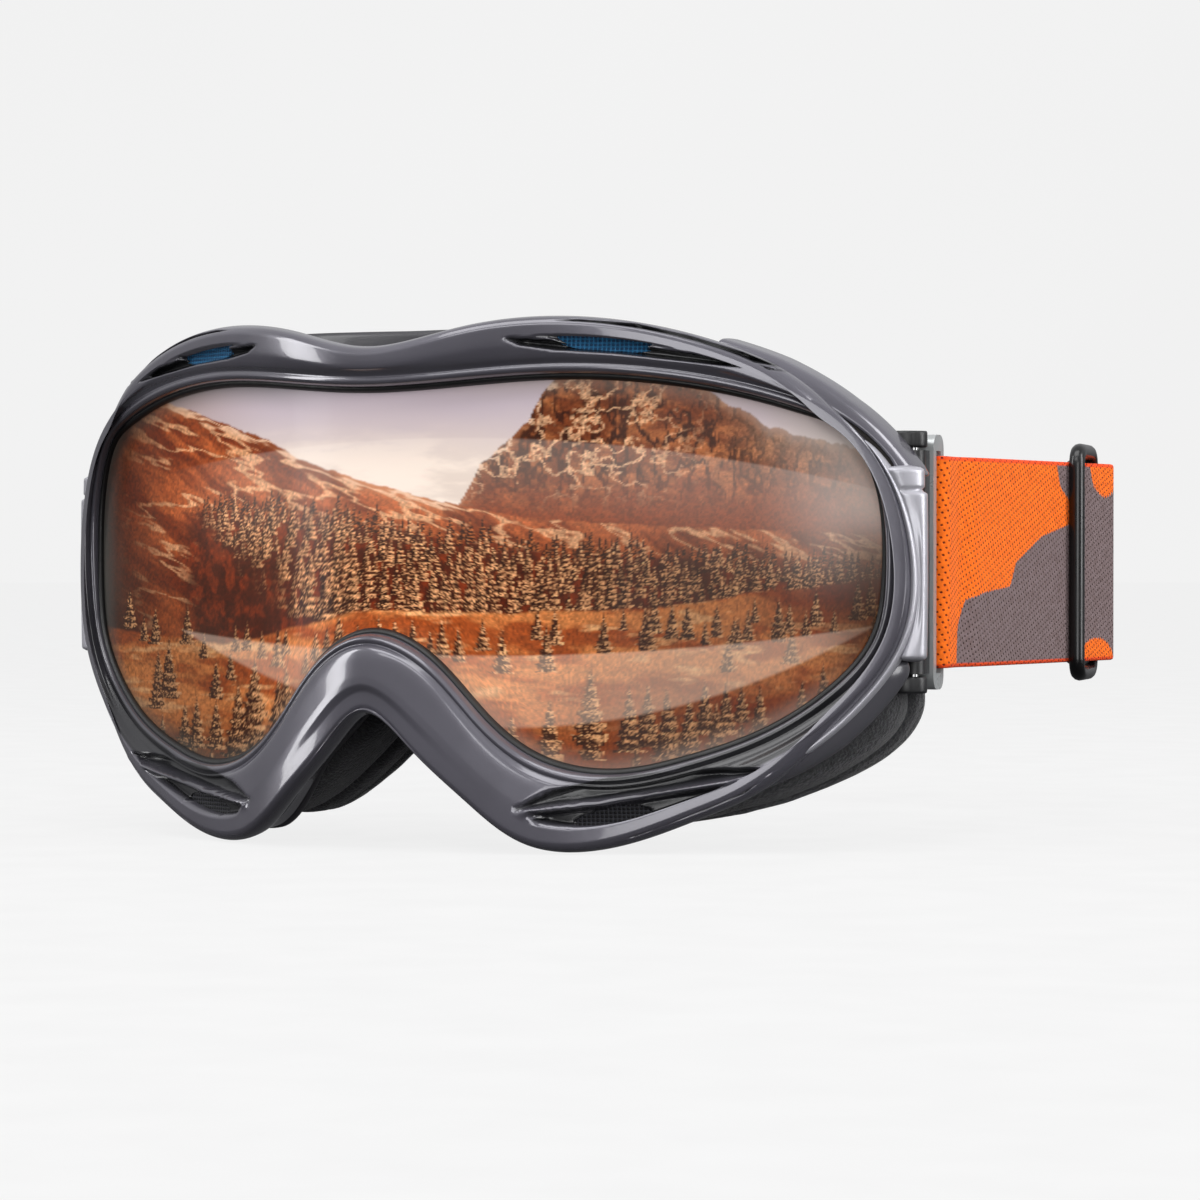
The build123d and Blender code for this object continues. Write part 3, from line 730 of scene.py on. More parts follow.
def noise(x, y, octaves=4, seed=0):
    """Smooth noise from 0 to 1, from a fixed lattice."""
    total, size, weight = 0, 0, 1.0
    x, y = x + 17.3 * seed, y + 41.9 * seed
    for _ in range(octaves):
        i, j = np.floor(x).astype(int), np.floor(y).astype(int)
        u, v = x - i, y - j
        u, v = u * u * (3 - 2 * u), v * v * (3 - 2 * v)
        a, b = LATTICE[i % 256, j % 256], LATTICE[(i + 1) % 256, j % 256]
        c, d = LATTICE[i % 256, (j + 1) % 256], LATTICE[(i + 1) % 256, (j + 1) % 256]
        total = total + weight * ((a * (1 - u) + b * u) * (1 - v) + (c * (1 - u) + d * u) * v)
        size += weight
        weight *= 0.55
        x, y = x * 2.03 + 5.1, y * 2.03 + 1.7
    return total / size


def layer(colour, share, paint):
    """Paint laid over colour where share is 1."""
    share = np.clip(share, 0, 1)[:, None]
    return colour * (1 - share) + np.asarray(paint) * share


def conifers(colour, u, v, ground, spacing, height, seed, dark, light, density=1.0):
    """A row of conifers standing on a ground line, lit from the right, with snow on the branches."""
    for step in (-1, 0, 1):
        cell = np.floor(u / spacing).astype(int) + step
        chance = LATTICE[(cell * 7 + seed) % 256, (cell * 3 + 11 * seed) % 256]
        other_chance = LATTICE[(cell * 5 + 3 * seed) % 256, (cell + 5 * seed) % 256]
        centre = (cell + 0.5 + 0.7 * (chance - 0.5)) * spacing
        tall = height * (0.55 + 0.75 * other_chance)
        rise = (v - (line_at(centre, ground) - 0.5 * height * chance)) / tall
        branch = 1 + 0.45 * (np.mod(rise * 7 + chance, 1.0) - 0.6)
        half = 0.23 * tall * (1.02 - rise) * branch * (0.75 + 0.5 * noise(u * 1.9, v * 1.9, 2, seed))
        inside = smoothstep(0.0, 0.12 * spacing, half - np.abs(u - centre)) * (rise > 0) * (rise < 1)
        inside = inside * (other_chance < density)
        lit = np.clip(0.5 + 0.5 * (u - centre) / np.maximum(half, 0.05), 0, 1)
        tier = np.mod(rise * 7 + chance, 1.0)
        snow = smoothstep(0.42, 0.72, noise(u * 3.4, v * 4.6, 2, seed + 3) * 0.75 + 0.5 * lit * tier)
        paint = layer(np.tile(dark, (len(u), 1)), snow, light)
        colour = layer(colour, inside, paint)
    return colour


def flat_paint(u, colour):
    """One colour over the whole view, to lay others on."""
    return np.tile(rgb(colour), (len(u), 1))


def sky_view(u, v):
    sky = layer(flat_paint(u, "c4b8c0"), smoothstep(84, 68, v + 3 * noise(u / 14, v / 8)), rgb("dccdc2"))
    sky = layer(sky, smoothstep(-18, -48, u) * smoothstep(60, 80, v), rgb("b09a96"))
    cloud = smoothstep(0.5, 0.72, noise(u / 16, v / 5, 5, 2)) * smoothstep(78, 66, v)
    return layer(sky, cloud, rgb("f0e2d6"))


def crag_view(u, v, colour):
    """The crag on the right. Returns the colours and the crag's upper edge."""
    crag = ((14, 60), (19, 70), (24, 73.5), (27, 77), (30, 82), (33, 86), (44, 88), (57, 86), (62, 81),
            (70, 77), (78, 74.5), (92, 72))
    edge = line_at(u, crag) + 2.2 * (noise(u / 2.5, v / 30, 4, 3) - 0.5)
    strata = noise(u / 3.2 + v / 9, v / 1.7 + u / 16, 5, 4)
    crest = 1 - np.abs(2 * noise(u / 4.2 + v / 14, v / 3.4 - u / 18, 5, 4) - 1)
    gully = 1 - np.abs(2 * noise(u / 2.4, v / 4.6, 4, 16) - 1)
    rock = layer(flat_paint(u, "8f5a3c"), smoothstep(0.4, 0.7, strata), rgb("b98560"))
    rock = layer(rock, smoothstep(0.8, 0.96, gully), rgb("5a2f1a"))
    rock = layer(rock, smoothstep(73, 60, v + 4 * noise(u / 9, v / 5, 3, 6)), rgb("a55f37"))
    snowy = 0.8 * smoothstep(0.88, 0.985, crest) * smoothstep(60, 70, v) * smoothstep(66, 44, u)
    rock = layer(rock, snowy, rgb("f0d4bc"))
    rock = layer(rock, 0.65 * smoothstep(58, 74, u) * smoothstep(64, 76, v), rgb("b9a396"))
    return layer(colour, smoothstep(0, 0.5, edge - v), rock), edge


def slope_view(u, v, colour):
    """The long slope down from the left. Returns the colours and the slope's upper edge."""
    hill = ((-60, 88), (-45, 83.6), (-32.3, 79.1), (-20.6, 74.6), (-14.8, 71), (-1.2, 66.5), (12.5, 62.9),
            (26, 60.2), (38, 59.3), (92, 57))
    shade = noise(u / 7 + v / 9, v / 4 + u / 8, 5, 7)
    slope = layer(flat_paint(u, "8f4c25"), smoothstep(0.35, 0.68, shade), rgb("c98357"))
    furrow = 1 - np.abs(2 * noise(u / 7 + v / 3.2, v / 8 - u / 30, 4, 8) - 1)
    slope = layer(slope, 0.8 * smoothstep(0.86, 0.98, furrow), rgb("f0cdb0"))
    slope = layer(slope, smoothstep(-36, -56, u), rgb("6a3a22"))
    edge = line_at(u, hill) + 0.8 * (noise(u / 1.4, v / 40, 3, 9) - 0.5)
    return layer(colour, smoothstep(0, 0.4, edge - v), slope), edge


def forest_view(u, v, colour):
    """The belt of conifers across the middle, larger towards the front."""
    far = ((-60, 66), (-20, 66), (0, 63), (14, 60.5), (34, 58), (60, 57), (92, 55))
    mottle = smoothstep(0.4, 0.7, noise(u / 1.6, v / 2.4, 4, 10))
    belt = layer(flat_paint(u, "6d3316"), mottle, rgb("9a5027"))
    colour = layer(colour, smoothstep(0, 1.0, line_at(u, far) - 4 - v) * smoothstep(-42, -34, u), belt)
    rows = ((0, 1.2, 4.0, 21), (2, 1.4, 4.6, 22), (4.5, 1.6, 5.2, 23), (7, 1.8, 6.0, 24),
            (9.5, 2.2, 7.0, 25), (12.5, 2.6, 8.0, 26), (15.5, 3.0, 9.0, 27))
    for drop, spacing, height, seed in rows:
        line = [(a, b - 4 - drop) for a, b in far]
        dark = rgb("4b200e") if seed % 2 else rgb("5c2a12")
        pale = rgb("f0c8a6") if seed > 21 else rgb("c98a5e")
        shown = conifers(colour, u, v, line, spacing, height, seed, dark, pale, 0.93)
        keep = smoothstep(-40 + drop * 1.2, -32 + drop * 1.2, u)[:, None]
        colour = colour * (1 - keep) + shown * keep
    return colour


def snowfield_view(u, v, colour):
    """The open snow in front, with single conifers."""
    ground = ((-60, 40), (-30, 37), (0, 44), (20, 43), (45, 44), (70, 47), (92, 50))
    drift = noise(u / 12, v / 3.4 + u / 50, 4, 11)
    snow = layer(flat_paint(u, "b9713f"), smoothstep(0.35, 0.6, drift), rgb("e2a877"))
    snow = layer(snow, smoothstep(0.58, 0.74, noise(u / 9, v / 2, 4, 12)), rgb("f0c8a2"))
    snow = layer(snow, smoothstep(26, 16, v) * 0.6, rgb("8a4a22"))
    snow = layer(snow, smoothstep(60, 84, u) * smoothstep(36, 46, v), rgb("8d3f14"))
    snow = layer(snow, 0.75 * smoothstep(10, 60, u + 0.6 * (30 - v)) * smoothstep(34, 24, v), rgb("9a4f1c"))
    edge = line_at(u, ground) + 1.5 * (noise(u / 6, v / 40, 3, 13) - 0.5)
    colour = layer(colour, smoothstep(0, 0.8, edge - v), snow)
    rows = (
        (((-60, 40), (-20, 36), (20, 38), (92, 43)), 2.6, 8.0, 31, 0.75),
        (((-60, 34), (92, 38)), 4.0, 10.0, 32, 0.5),
        (((-60, 28), (-18, 26), (0, 20), (92, 26)), 3.6, 13.0, 33, 0.55),
        (((-60, 20), (-14, 20), (0, 4), (30, 20), (92, 20)), 4.2, 15.0, 34, 0.6),
        (((-60, 12), (-10, 10), (0, 2), (30, 12), (92, 12)), 5.0, 17.0, 35, 0.7),
    )
    for line, spacing, height, seed, density in rows:
        colour = conifers(colour, u, v, line, spacing, height, seed, rgb("55270c"), rgb("f2cba8"), density)
    return colour


def coating_glare(x, u, v, inset, colour):
    """Painted reflections of soft boxes in the coating, and painted reflection and shade towards the rims."""
    # Painted highlights: reflections of two soft boxes, a faint crescent high up and a brighter band low
    # down.
    arch = 74.5 - 0.0016 * (u - 14) ** 2
    crescent = smoothstep(0, 0.5, arch - v) * smoothstep(arch - 24, arch - 2, v) * smoothstep(-44, -20, u)
    colour = layer(colour, 0.13 * crescent, rgb("fff4ea"))
    low = 35.5 + 0.0011 * (u - 20) ** 2
    dip = 22.0 + 0.0042 * (u - 24) ** 2
    colour = layer(colour, 0.22 * smoothstep(0, 0.5, low - v) * smoothstep(0, 0.8, v - dip), rgb("ffe9d6"))
    from_left, from_right = np.abs(x + HALF_LENS), HALF_LENS - x
    # Painted reflection towards the rims: grey-teal at the left, pale at the upper right, and a pale veil
    # inside the lower right rim.
    colour = layer(colour, 0.62 * smoothstep(12, 0, from_left), rgb("4a4f50"))
    colour = layer(colour, 0.6 * smoothstep(22, 0, from_right) * smoothstep(40, 66, v), rgb("cfc8c2"))
    near_rim = smoothstep(5.5, 0, inset) * smoothstep(0, 30, x) * smoothstep(80, 70, x)
    colour = layer(colour, 0.5 * near_rim, rgb("9c8f86"))
    # Painted shade at the lower right rim, and a grey-teal painted reflection along the left rim.
    colour = layer(colour, 0.6 * smoothstep(12, 2, from_right) * smoothstep(62, 52, v), rgb("2c1a10"))
    return layer(colour, 0.55 * smoothstep(6, 0, inset) * smoothstep(0, -30, x), rgb("46504f"))


def reflected_view(x, y, z, inset):
    """A made-up winter valley, as the mirror coating shows it: sky, crag, slopes and conifers."""
    u, v = 0.898 * x + 0.44 * y, z
    colour, crag_edge = crag_view(u, v, sky_view(u, v))
    colour, slope_edge = slope_view(u, v, colour)
    colour = snowfield_view(u, v, forest_view(u, v, colour))

    # Fine relief over the land.
    grit = noise(u * 2.8, v * 2.2, 4, 41)
    below = smoothstep(0, 3, np.maximum(crag_edge, slope_edge) - v)[:, None]
    colour = colour * (1 + below * (1.1 * (grit - 0.5))[:, None])
    colour = np.clip(colour, 0, 1)
    colour = colour * (1 - below) + (1.08 * colour ** 1.28 * (1.0, 0.95, 0.92)) * below

    # The mirrored valley is darkest at the lower left and towards the right rim.
    tone = 0.84 - 0.42 * smoothstep(16, 58, u) * smoothstep(72, 50, v)
    tone = tone - 0.42 * smoothstep(-8, -38, u) * smoothstep(64, 34, v)
    colour = colour * (1 - below + below * tone[:, None] * (1.0, 0.93, 0.8))
    colour = coating_glare(x, u, v, inset, colour)
    return np.clip(colour, 0, 1) ** 1.16 * 0.93


def lens():
    """The mirrored lens: a dense curved front, a thin wall round it, and the reflected view's colours."""
    where = FRAME_EDGE.spread(4000)
    outline = LENS_EDGE.at(where)
    unit = FRAME_EDGE.at(where) - outline
    outline = outline + 0.25 * unit / np.hypot(*unit.T)[:, None]
    widest = int(np.argmax(outline[:, 0]))
    bottom = int(np.argmin(np.abs(where - FRAME_EDGE.knots[len(STATIONS) - 1])))
    upper, lower = outline[:widest + 1], outline[widest:bottom + 1][::-1]
    columns, rows = 720, 300
    x = outline[widest, 0] * np.sin(np.linspace(-math.pi / 2, math.pi / 2, columns))
    top = np.interp(np.abs(x), upper[:, 0], upper[:, 1])
    low = np.interp(np.abs(x), lower[:, 0], lower[:, 1])
    share = np.linspace(0, 1, rows)
    z = low[:, None] + (top - low)[:, None] * share[None]
    x = np.broadcast_to(x[:, None], z.shape)
    y = depth_at(x, LENS_PLAN) + 0.05
    front = np.stack([x, y, z], -1).reshape(-1, 3)
    faces = grid_faces(columns, rows, False, False)
    border = [i * rows for i in range(columns)]
    border += [(columns - 1) * rows + i for i in range(1, rows)]
    border += [i * rows + rows - 1 for i in range(columns - 2, -1, -1)]
    border += [i for i in range(rows - 2, 0, -1)]
    back = front[border] + (0, 1.15, 0)
    base = len(front)
    count = len(border)
    faces += [[border[i], border[(i + 1) % count], base + (i + 1) % count, base + i] for i in range(count)]
    points = np.vstack([front, back])
    piece = mesh_piece("mirror_lens", points, faces, lens_material(), replaces=["outer_lens"])
    mesh = piece.data
    place = np.zeros(len(mesh.vertices) * 3)
    mesh.vertices.foreach_get("co", place)
    place = place.reshape(-1, 3) * 1000
    side = np.abs(place[:, 0])
    ceiling, ground = np.interp(side, upper[:, 0], upper[:, 1]), np.interp(side, lower[:, 0], lower[:, 1])
    inset = np.minimum(np.minimum(ceiling - place[:, 2], place[:, 2] - ground), (HALF_LENS - side) * 0.8)
    colour = reflected_view(place[:, 0], place[:, 1] - FRONT_Y, place[:, 2], inset)
    paint = mesh.color_attributes.new("reflection", "FLOAT_COLOR", "POINT")
    colour = np.hstack([colour, np.ones((len(colour), 1))]).astype(np.float32)
    paint.data.foreach_set("color", colour.ravel())


lens()

# ---------------------------------------------------------------- face foam

def foam_layer(name, start, stop, swell, material, replaces):
    """One layer of the face foam: a soft ring whose sides bulge between its seams."""
    where = FOAM_OUTER.spread(520)
    inner, outer = FOAM_INNER.at(where), FOAM_OUTER.at(where)
    turn = np.linspace(0, 2 * math.pi, 40, endpoint=False)
    across = 0.5 + 0.5 * np.sign(np.cos(turn)) * np.abs(np.cos(turn)) ** 0.55
    through = 0.5 + 0.5 * np.sign(np.sin(turn)) * np.abs(np.sin(turn)) ** 0.6
    flat = inner[:, None] + (outer - inner)[:, None] * across[None, :, None]
    pull = (across - 0.5)[None, :, None] * 2
    unit = (outer - inner) / np.hypot(*(outer - inner).T)[:, None]
    flat = flat + unit[:, None] * pull * swell
    x, z = flat[..., 0], flat[..., 1]
    front, back = depth_at(x, FRAME_BACK_PLAN), depth_at(x, FACE_PLAN)
    share = start + (stop - start) * through[None]
    y = front + (back - front) * share
    dents = noise(where[:, None] / 9 + 3 * across[None], share * 9 + where[:, None] / 30, 3, 15) - 0.5
    points = np.stack([x, y, z], -1)
    points[..., :1] += unit[:, None, :1] * (pull * dents[..., None] * 0.7)
    points[..., 2:] += unit[:, None, 1:] * (pull * dents[..., None] * 0.7)
    piece = mesh_piece(name, points, ring_faces(points), material, replaces=replaces)


foam_layer("face_foam_base", 0.01, 0.61, 0.1, FACE_FOAM, ["foam_base"])
foam_layer("face_foam_middle", 0.62, 0.9, 0.35, FACE_FOAM, ["foam_middle"])
foam_layer("face_fleece_pad", 0.9, 1.0, 0.25, FLEECE, ["face_fleece"])

# ---------------------------------------------------------------- strap

def ring_point(forward, outward):
    """A point beside the ring, at a distance back from its front and an offset outwards."""
    along = np.array([math.sin(RING_LEAN), math.cos(RING_LEAN)])
    out = np.array([math.cos(RING_LEAN), -math.sin(RING_LEAN)])
    return np.array(RING_FRONT) + forward * along + outward * out


RUN = np.array(STRAP_CORNER) - np.array(STRAP_START)
RUN_UNIT = RUN / np.hypot(*RUN)
RUN_OUT = np.array([RUN_UNIT[1], -RUN_UNIT[0]])


def beside_run(y, outward):
    """A point beside the strap's straight run, at a distance back and an offset outwards."""
    start = np.array(STRAP_START) + RUN_UNIT * (y - STRAP_START[1]) / RUN_UNIT[1]
    return start + RUN_OUT * outward


def smooth_path(corners, step=0.5):
    """A path in plan through (point, radius) corners, as evenly spaced points."""
    points = [np.array(corners[0][0], float)]
    for (before, _), (corner, radius), (after, _) in zip(corners, corners[1:], corners[2:]):
        before, corner, after = (np.array(p, float) for p in (before, corner, after))
        a, b = before - corner, after - corner
        a, b = a / np.hypot(*a), b / np.hypot(*b)
        half = math.acos(np.clip(a @ b, -1, 1)) / 2
        reach = radius / math.tan(half)
        first, last = corner + a * reach, corner + b * reach
        centre = corner + (a + b) / np.hypot(*(a + b)) * radius / math.sin(half)
        start = math.atan2(*(first - centre)[::-1])
        stop = math.atan2(*(last - centre)[::-1])
        turn = (stop - start + math.pi) % (2 * math.pi) - math.pi
        angles = start + turn * np.linspace(0, 1, 14)
        points += [centre + radius * np.array([math.cos(t), math.sin(t)]) for t in angles]
    points.append(np.array(corners[-1][0], float))
    points = np.array(points)
    length = np.concatenate([[0], np.cumsum(np.hypot(*np.diff(points, axis=0).T))])
    even = np.linspace(0, length[-1], int(length[-1] / step) + 1)
    return np.stack([np.interp(even, length, points[:, k]) for k in (0, 1)], 1), even


def print_field(x, y, z):
    """The printed pattern: above 0 is the grey-brown shape, below 0 the orange ground."""
    edge = line_at(y, ((55, 20), (62.5, 24), (63.8, 40), (66.6, 45), (74, 46.5), (83.6, 47.4), (86, 52),
                       (97, 57), (109.5, 59.5), (114, 90), (160, 90)))
    field = edge - z
    top = line_at(y, ((96, 80), (103, 72), (105, 66.5), (109, 64), (112, 60), (160, 40)))
    field = np.maximum(field, z - top)
    for cy, cz, ry, rz in ((125, 72, 7, 7), (121, 32, 8, 5)):
        field = np.minimum(field, 4 * (np.hypot((y - cy) / ry, (z - cz) / rz) - 1))
    cloud = 16 * (noise(x / 24 + 3, z / 17, 2, 51) - 0.45)
    behind = smoothstep(130, 138, y)
    return field * (1 - behind) + cloud * behind


def strap_mesh(name, corners, thickness, half, material, body=None, sign=1, replaces=()):
    """Flat webbing along a path in plan, with rounded edges and woven selvages."""
    path, length = smooth_path(corners)
    tangent = np.gradient(path, axis=0)
    tangent /= np.hypot(*tangent.T)[:, None]
    normal = np.stack([tangent[:, 1], -tangent[:, 0]], 1)
    heights = np.concatenate([[-1, -0.992], np.linspace(-0.97, 0.97, 56), [0.992, 1]]) * half
    swell = np.concatenate([[0.35, 0.8], np.ones(56), [0.8, 0.35]])
    rows = []
    for side in (1, -1):
        order = slice(None) if side == 1 else slice(None, None, -1)
        level, thick = heights[order], swell[order]
        offset = side * thickness / 2 * thick
        centre = path[:, None] + normal[:, None] * offset[None, :, None]
        z = np.broadcast_to(STRAP_LEVEL + level[None], centre.shape[:2])
        rows.append(np.stack([centre[..., 0], centre[..., 1], z], -1))
    points = np.concatenate(rows, 1)
    piece = mesh_piece(name, points * (sign, 1, 1), tube_faces(points), material,
                       body, replaces)
    outside = np.tile(np.arange(2 * len(heights)) < len(heights), len(path))
    printed = print_field(*points.reshape(-1, 3).T)
    set_values(piece, "along", np.repeat(length, points.shape[1]))
    set_values(piece, "across", np.tile(np.concatenate([heights, heights[::-1]]), len(path)))
    set_values(piece, "print", np.where(outside & (material is WEBBING), printed, 4.0))
    return piece


def strap_side(sign, side):
    """One half of the strap, from its inner layer's end to the middle of the back, and its sewn hem."""
    inner_leg, outer_leg, fold = -3.85, 1.05, 3.95
    corners = [
        (beside_run(92, LAYER_OFFSET), 0), (beside_run(70, LAYER_OFFSET), 8),
        (ring_point(11, inner_leg), 8), (ring_point(fold, inner_leg), 1.4),
        (ring_point(fold, outer_leg), 1.4), (ring_point(11, outer_leg), 8),
        (beside_run(70, 0), 12), (STRAP_CORNER, 3.5),
        ((STRAP_BACK_TURN, STRAP_BACK_Y), 60), ((0.02, STRAP_BACK_Y), 0),
    ]
    # The path runs from the inner layer's end forward to the ring and back outside it.
    piece = strap_mesh(f"strap_{side}", corners, STRAP_THICKNESS, STRAP_HALF, WEBBING, sign=sign,
                       replaces=[f"strap_stub_{side}", f"strap_inner_{side}", "strap_main"])
    tuple(to_metres((sign * 88.0, 60.0, STRAP_LEVEL)))
    tuple(to_metres((sign * 90.0, 80.0, STRAP_LEVEL)))
    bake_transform(piece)

    near, far = LAYER_OFFSET + 1.9, LAYER_OFFSET - 1.9
    bar = SLIDER_FRONT_Y + SLIDER_CENTRE
    hem = [
        (beside_run(bar - 25.0, near), 0), (beside_run(bar - 6, near), 6), (beside_run(bar + 2.1, near), 1.5),
        (beside_run(bar + 2.1, far), 1.5), (beside_run(bar - 6, far), 6), (beside_run(bar - 25.0, far), 0),
    ]
    strap_mesh(f"strap_hem_{side}", hem, 1.25, STRAP_HALF - 0.3, PLAIN_WEBBING, f"slider_{side}", sign,
               [f"strap_end_{side}"])


for side_name, side_sign in SIDES:
    strap_side(side_sign, side_name)


def stitched_patch():
    """The sewn joint in the middle of the strap's back."""
    half_length, surface = 11, STRAP_BACK_Y + 1.15
    corners = [((half_length, surface), 0), ((0, surface + 0.05), 200), ((-half_length, surface), 0)]
    strap_mesh("strap_joint", corners, 0.9, STRAP_HALF - 0.4, PLAIN_WEBBING, "frame")
    # Two rows of stitches, each a thread that rises out of the webbing and goes back in.
    stitches, rings, sides, thread = 28, 6, 6, 0.14
    points, faces = [], []
    for row in (-9.2, 9.2):
        for height in np.linspace(-18, 18, stitches):
            centre = np.array([row, STRAP_BACK_Y + 1.75, STRAP_LEVEL + height])
            base = len(points)
            for share in np.linspace(0, 1, rings):
                lift = 0.12 * math.sin(math.pi * share) - 0.1
                for a in np.linspace(0, 2 * math.pi, sides, endpoint=False):
                    points.append(centre + (thread * math.cos(a), lift + thread * math.sin(a), share - 0.5))
            faces += [[base + f for f in quad] for quad in grid_faces(rings, sides, False, True, True)]
    mesh_piece("strap_joint_stitches", np.array(points), faces, SILICONE)


stitched_patch()

# ---------------------------------------------------------------- slider

def rounded_loop(points, radius, step):
    """A closed path of straight runs with rounded corners, with points no further apart than step."""
    path = []
    count = len(points)
    for i in range(count):
        before, corner, after = (np.array(points[k % count], float) for k in (i - 1, i, i + 1))
        a, b = before - corner, after - corner
        a, b = a / np.linalg.norm(a), b / np.linalg.norm(b)
        first, last = corner + a * radius, corner + b * radius
        for t in np.linspace(0, 1, 9):
            path.append((1 - t) ** 2 * first + 2 * t * (1 - t) * corner + t ** 2 * last)
    dense = []
    for a, b in zip(path, np.roll(path, -1, 0)):
        steps = max(1, int(np.linalg.norm(b - a) / step))
        dense += [a + (b - a) * k / steps for k in range(steps)]
    return np.array(dense)


def tube(path, radius_in, radius_out, closed=True, sides=14):
    """A tube round a path, with one radius in the strap's plane and one across it."""
    tangent = (np.roll(path, -1, 0) - np.roll(path, 1, 0)) if closed else np.gradient(path, axis=0)
    tangent /= np.linalg.norm(tangent, axis=1)[:, None]
    out = np.array([RUN_OUT[0], RUN_OUT[1], 0.0])
    side = np.cross(tangent, out)
    side /= np.linalg.norm(side, axis=1)[:, None]
    up = np.cross(side, tangent)
    turn = np.linspace(0, 2 * math.pi, sides, endpoint=False)
    return path[:, None] + side[:, None] * (radius_in * np.cos(turn))[None, :, None] \
        + up[:, None] * (radius_out * np.sin(turn))[None, :, None]


def slider_spot(distance, outward, height):
    """A point of the slider, at a distance behind its front along the strap."""
    front = (SLIDER_FRONT_Y - STRAP_START[1]) / RUN_UNIT[1]
    x, y = np.array(STRAP_START) + RUN_UNIT * (front + distance) + RUN_OUT * outward
    return (x, y, STRAP_LEVEL + height)


def slider(side, sign):
    """The three-bar glide: a bent wire loop and the centre bar, whose ends step out to the loop."""
    offset, half = 2.15, 21.6
    loop = [slider_spot(0, offset, -half), slider_spot(0, offset, half),
            slider_spot(SLIDER_LENGTH, -offset, half), slider_spot(SLIDER_LENGTH, -offset, -half)]
    points = tube(rounded_loop(loop, 3.2, 1.5), 1.6, 1.55)
    mesh_piece(f"slider_loop_{side}", points * (sign, 1, 1), ring_faces(points),
               BLACK_GLOSS, f"slider_{side}", [f"strap_slider_{side}"])
    levels = np.linspace(-half, half, 30)
    bar = np.array([slider_spot(SLIDER_CENTRE, LAYER_OFFSET, h) for h in levels])
    ends = np.abs(levels) > 0.93 * half
    bar[ends] = [slider_spot(SLIDER_CENTRE - 0.1, -1.2, h) for h in levels[ends]]
    points = tube(bar, 1.2, 1.0, closed=False)
    mesh_piece(f"slider_bar_{side}", points * (sign, 1, 1), tube_faces(points),
               BLACK_GLOSS, f"slider_{side}", [f"strap_slider_{side}"])


for side_name, side_sign in SIDES:
    slider(side_name, side_sign)

# ---------------------------------------------------------------- stage, lights, camera

def stage_piece(name, points, faces, material):
    """Part of the set: seen by the camera, but it neither lights the object nor mirrors in it."""
    mesh = bpy.data.meshes.new(name)
    mesh.from_pydata(points, [], faces)
    mesh.polygons.foreach_set("use_smooth", [True] * len(mesh.polygons))
    mesh.materials.append(material)
    piece = bpy.data.objects.new(name, mesh)
    bpy.context.scene.collection.objects.link(piece)
    piece.visible_glossy = piece.visible_diffuse = False
    return piece


def stage():
    """A wide pale floor under a pale dome."""
    reach = 9.0
    n = Nodes("floor")
    grain = n.noise(60.0, 3.0)
    n.shade(Base_Color=n.ramp(grain, 0.3, 0.7, "404040", "424242"), Roughness=0.9, Specular_IOR_Level=0.0,
            Emission_Color=n.ramp(grain, 0.3, 0.7, "f3f3f3", "f5f5f5"), Emission_Strength=0.925)
    around = [2 * math.pi * k / 96 for k in range(96)]
    ring = [(reach * math.cos(t), reach * math.sin(t), 0.0) for t in around]
    stage_piece("floor", ring, [list(range(96))], n.material)

    n = Nodes("dome")
    n.shade(Base_Color="000000", Roughness=1.0, Specular_IOR_Level=0.0,
            Emission_Color=n.ramp(n.noise(0.5), 0.3, 0.7, "f3f3f3", "f5f5f5"), Emission_Strength=0.98)
    rows = np.linspace(-0.02, math.pi / 2 - 0.02, 24)
    points = [(reach * math.cos(r) * math.cos(t), reach * math.cos(r) * math.sin(t), reach * math.sin(r))
              for r in rows for t in around]
    dome = stage_piece("dome", points, grid_faces(24, 96, False, True), n.material)
    dome.visible_shadow = False


def soft_box(name, place, target, width, height, power):
    lamp = bpy.data.lights.new(name, "AREA")
    lamp.shape = "RECTANGLE"
    lamp.size, lamp.size_y, lamp.energy = width, height, power
    piece = bpy.data.objects.new(name, lamp)
    piece.location = place
    piece.rotation_mode = "QUATERNION"
    piece.rotation_quaternion = (Vector(target) - Vector(place)).to_track_quat("-Z", "Y")
    bpy.context.scene.collection.objects.link(piece)


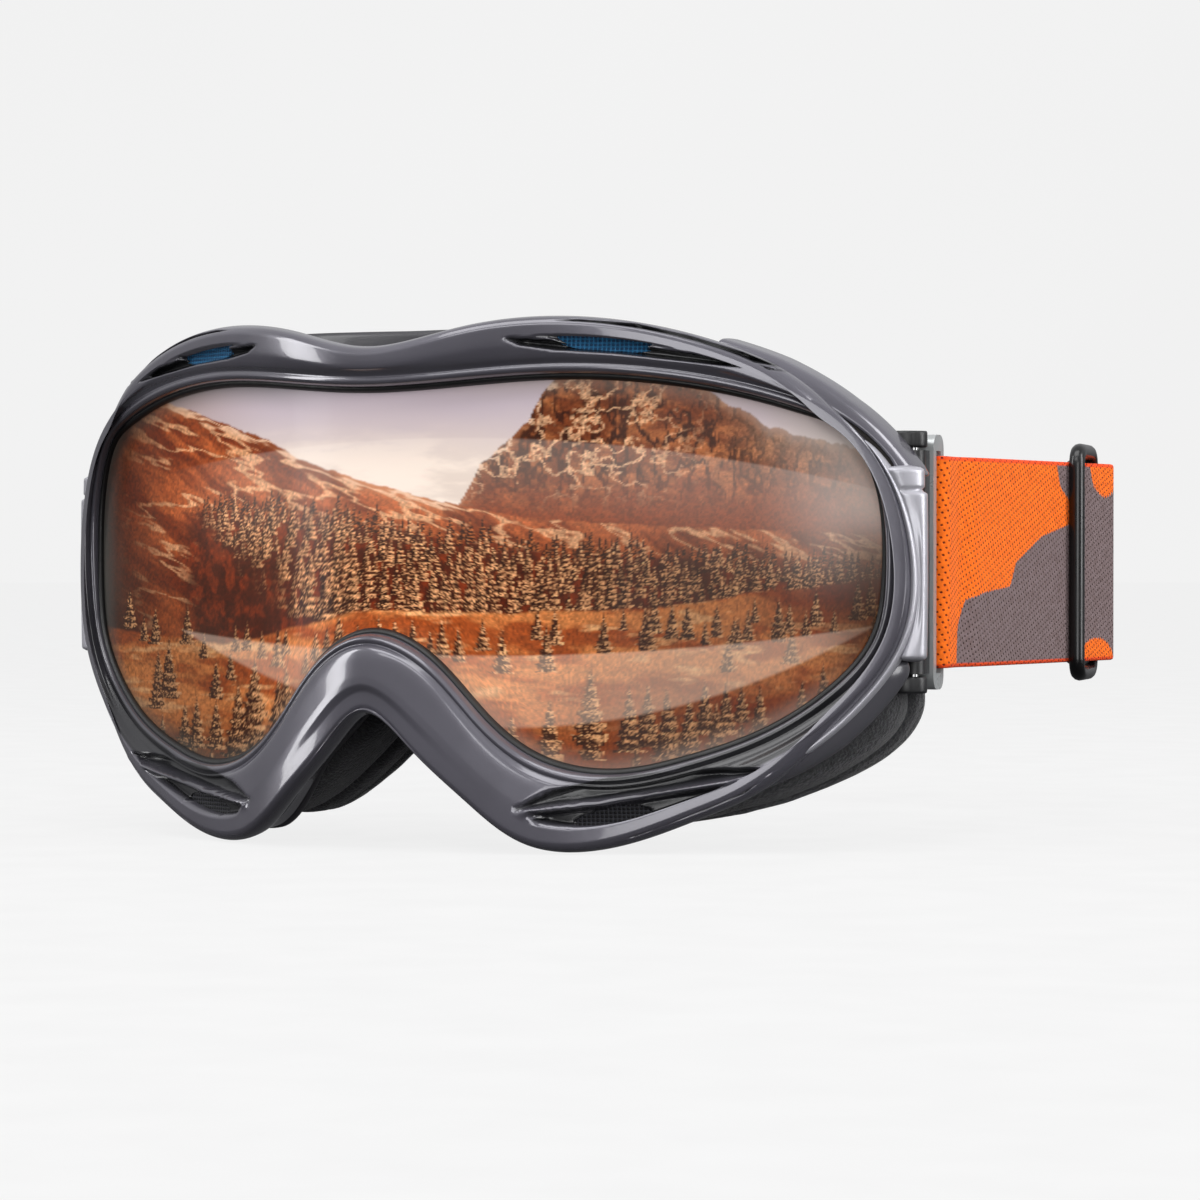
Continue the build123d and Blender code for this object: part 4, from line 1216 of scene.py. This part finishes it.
stage()
CENTRE = (0.0, -0.02, 0.05)
soft_box("key_top", (0.1, -0.35, 0.9), CENTRE, 0.9, 0.5, 5.0)
soft_box("strip_left", (-0.75, -0.55, 0.35), CENTRE, 0.22, 0.9, 4.5)
soft_box("strip_right", (0.95, 0.15, 0.3), CENTRE, 0.35, 0.8, 6.0)
soft_box("front_low", (0.2, -0.95, 0.75), CENTRE, 0.8, 0.3, 2.5)
soft_box("front_right", (0.75, -0.95, 0.12), CENTRE, 0.5, 0.7, 4.0)


def studio_world():
    """Surroundings that are dark below and bright above, so that undersides stay dark."""
    world = bpy.data.worlds.new("studio")
    world.use_nodes = True
    tree = world.node_tree
    height = tree.nodes.new("ShaderNodeSeparateXYZ")
    tree.links.new(tree.nodes.new("ShaderNodeTexCoord").outputs["Generated"], height.inputs[0])
    shade = tree.nodes.new("ShaderNodeValToRGB")
    dark, bright = shade.color_ramp.elements
    dark.position, dark.color = 0.38, (0.09, 0.09, 0.095, 1)
    bright.position, bright.color = 0.78, (0.85, 0.85, 0.87, 1)
    lift = tree.nodes.new("ShaderNodeMapRange")
    lift.inputs["From Min"].default_value, lift.inputs["From Max"].default_value = -1.0, 1.0
    tree.links.new(height.outputs["Z"], lift.inputs["Value"])
    tree.links.new(lift.outputs["Result"], shade.inputs["Fac"])
    tree.links.new(shade.outputs["Color"], tree.nodes["Background"].inputs["Color"])
    tree.nodes["Background"].inputs["Strength"].default_value = 0.8
    bpy.context.scene.world = world
    bpy.context.scene.view_settings.view_transform = "Standard"


def add_camera():
    """The camera, level with the goggles and about 26 degrees round to their right."""
    data = bpy.data.cameras.new("camera")
    data.lens, data.sensor_width = 116.2, 36.0
    data.clip_start, data.clip_end = 0.01, 50.0
    camera = bpy.data.objects.new("camera", data)
    back = Vector((0.4403, -0.8978, 0.0099)).normalized()
    right = Vector((0.8979, 0.4403, 0.0)).normalized()
    up = back.cross(right)
    turn = Matrix((right, up, back)).transposed().to_4x4()
    camera.matrix_world = Matrix.Translation((0.3438, -0.6818, 0.0521)) @ turn
    bpy.context.scene.collection.objects.link(camera)
    bpy.context.scene.camera = camera


studio_world()
add_camera()
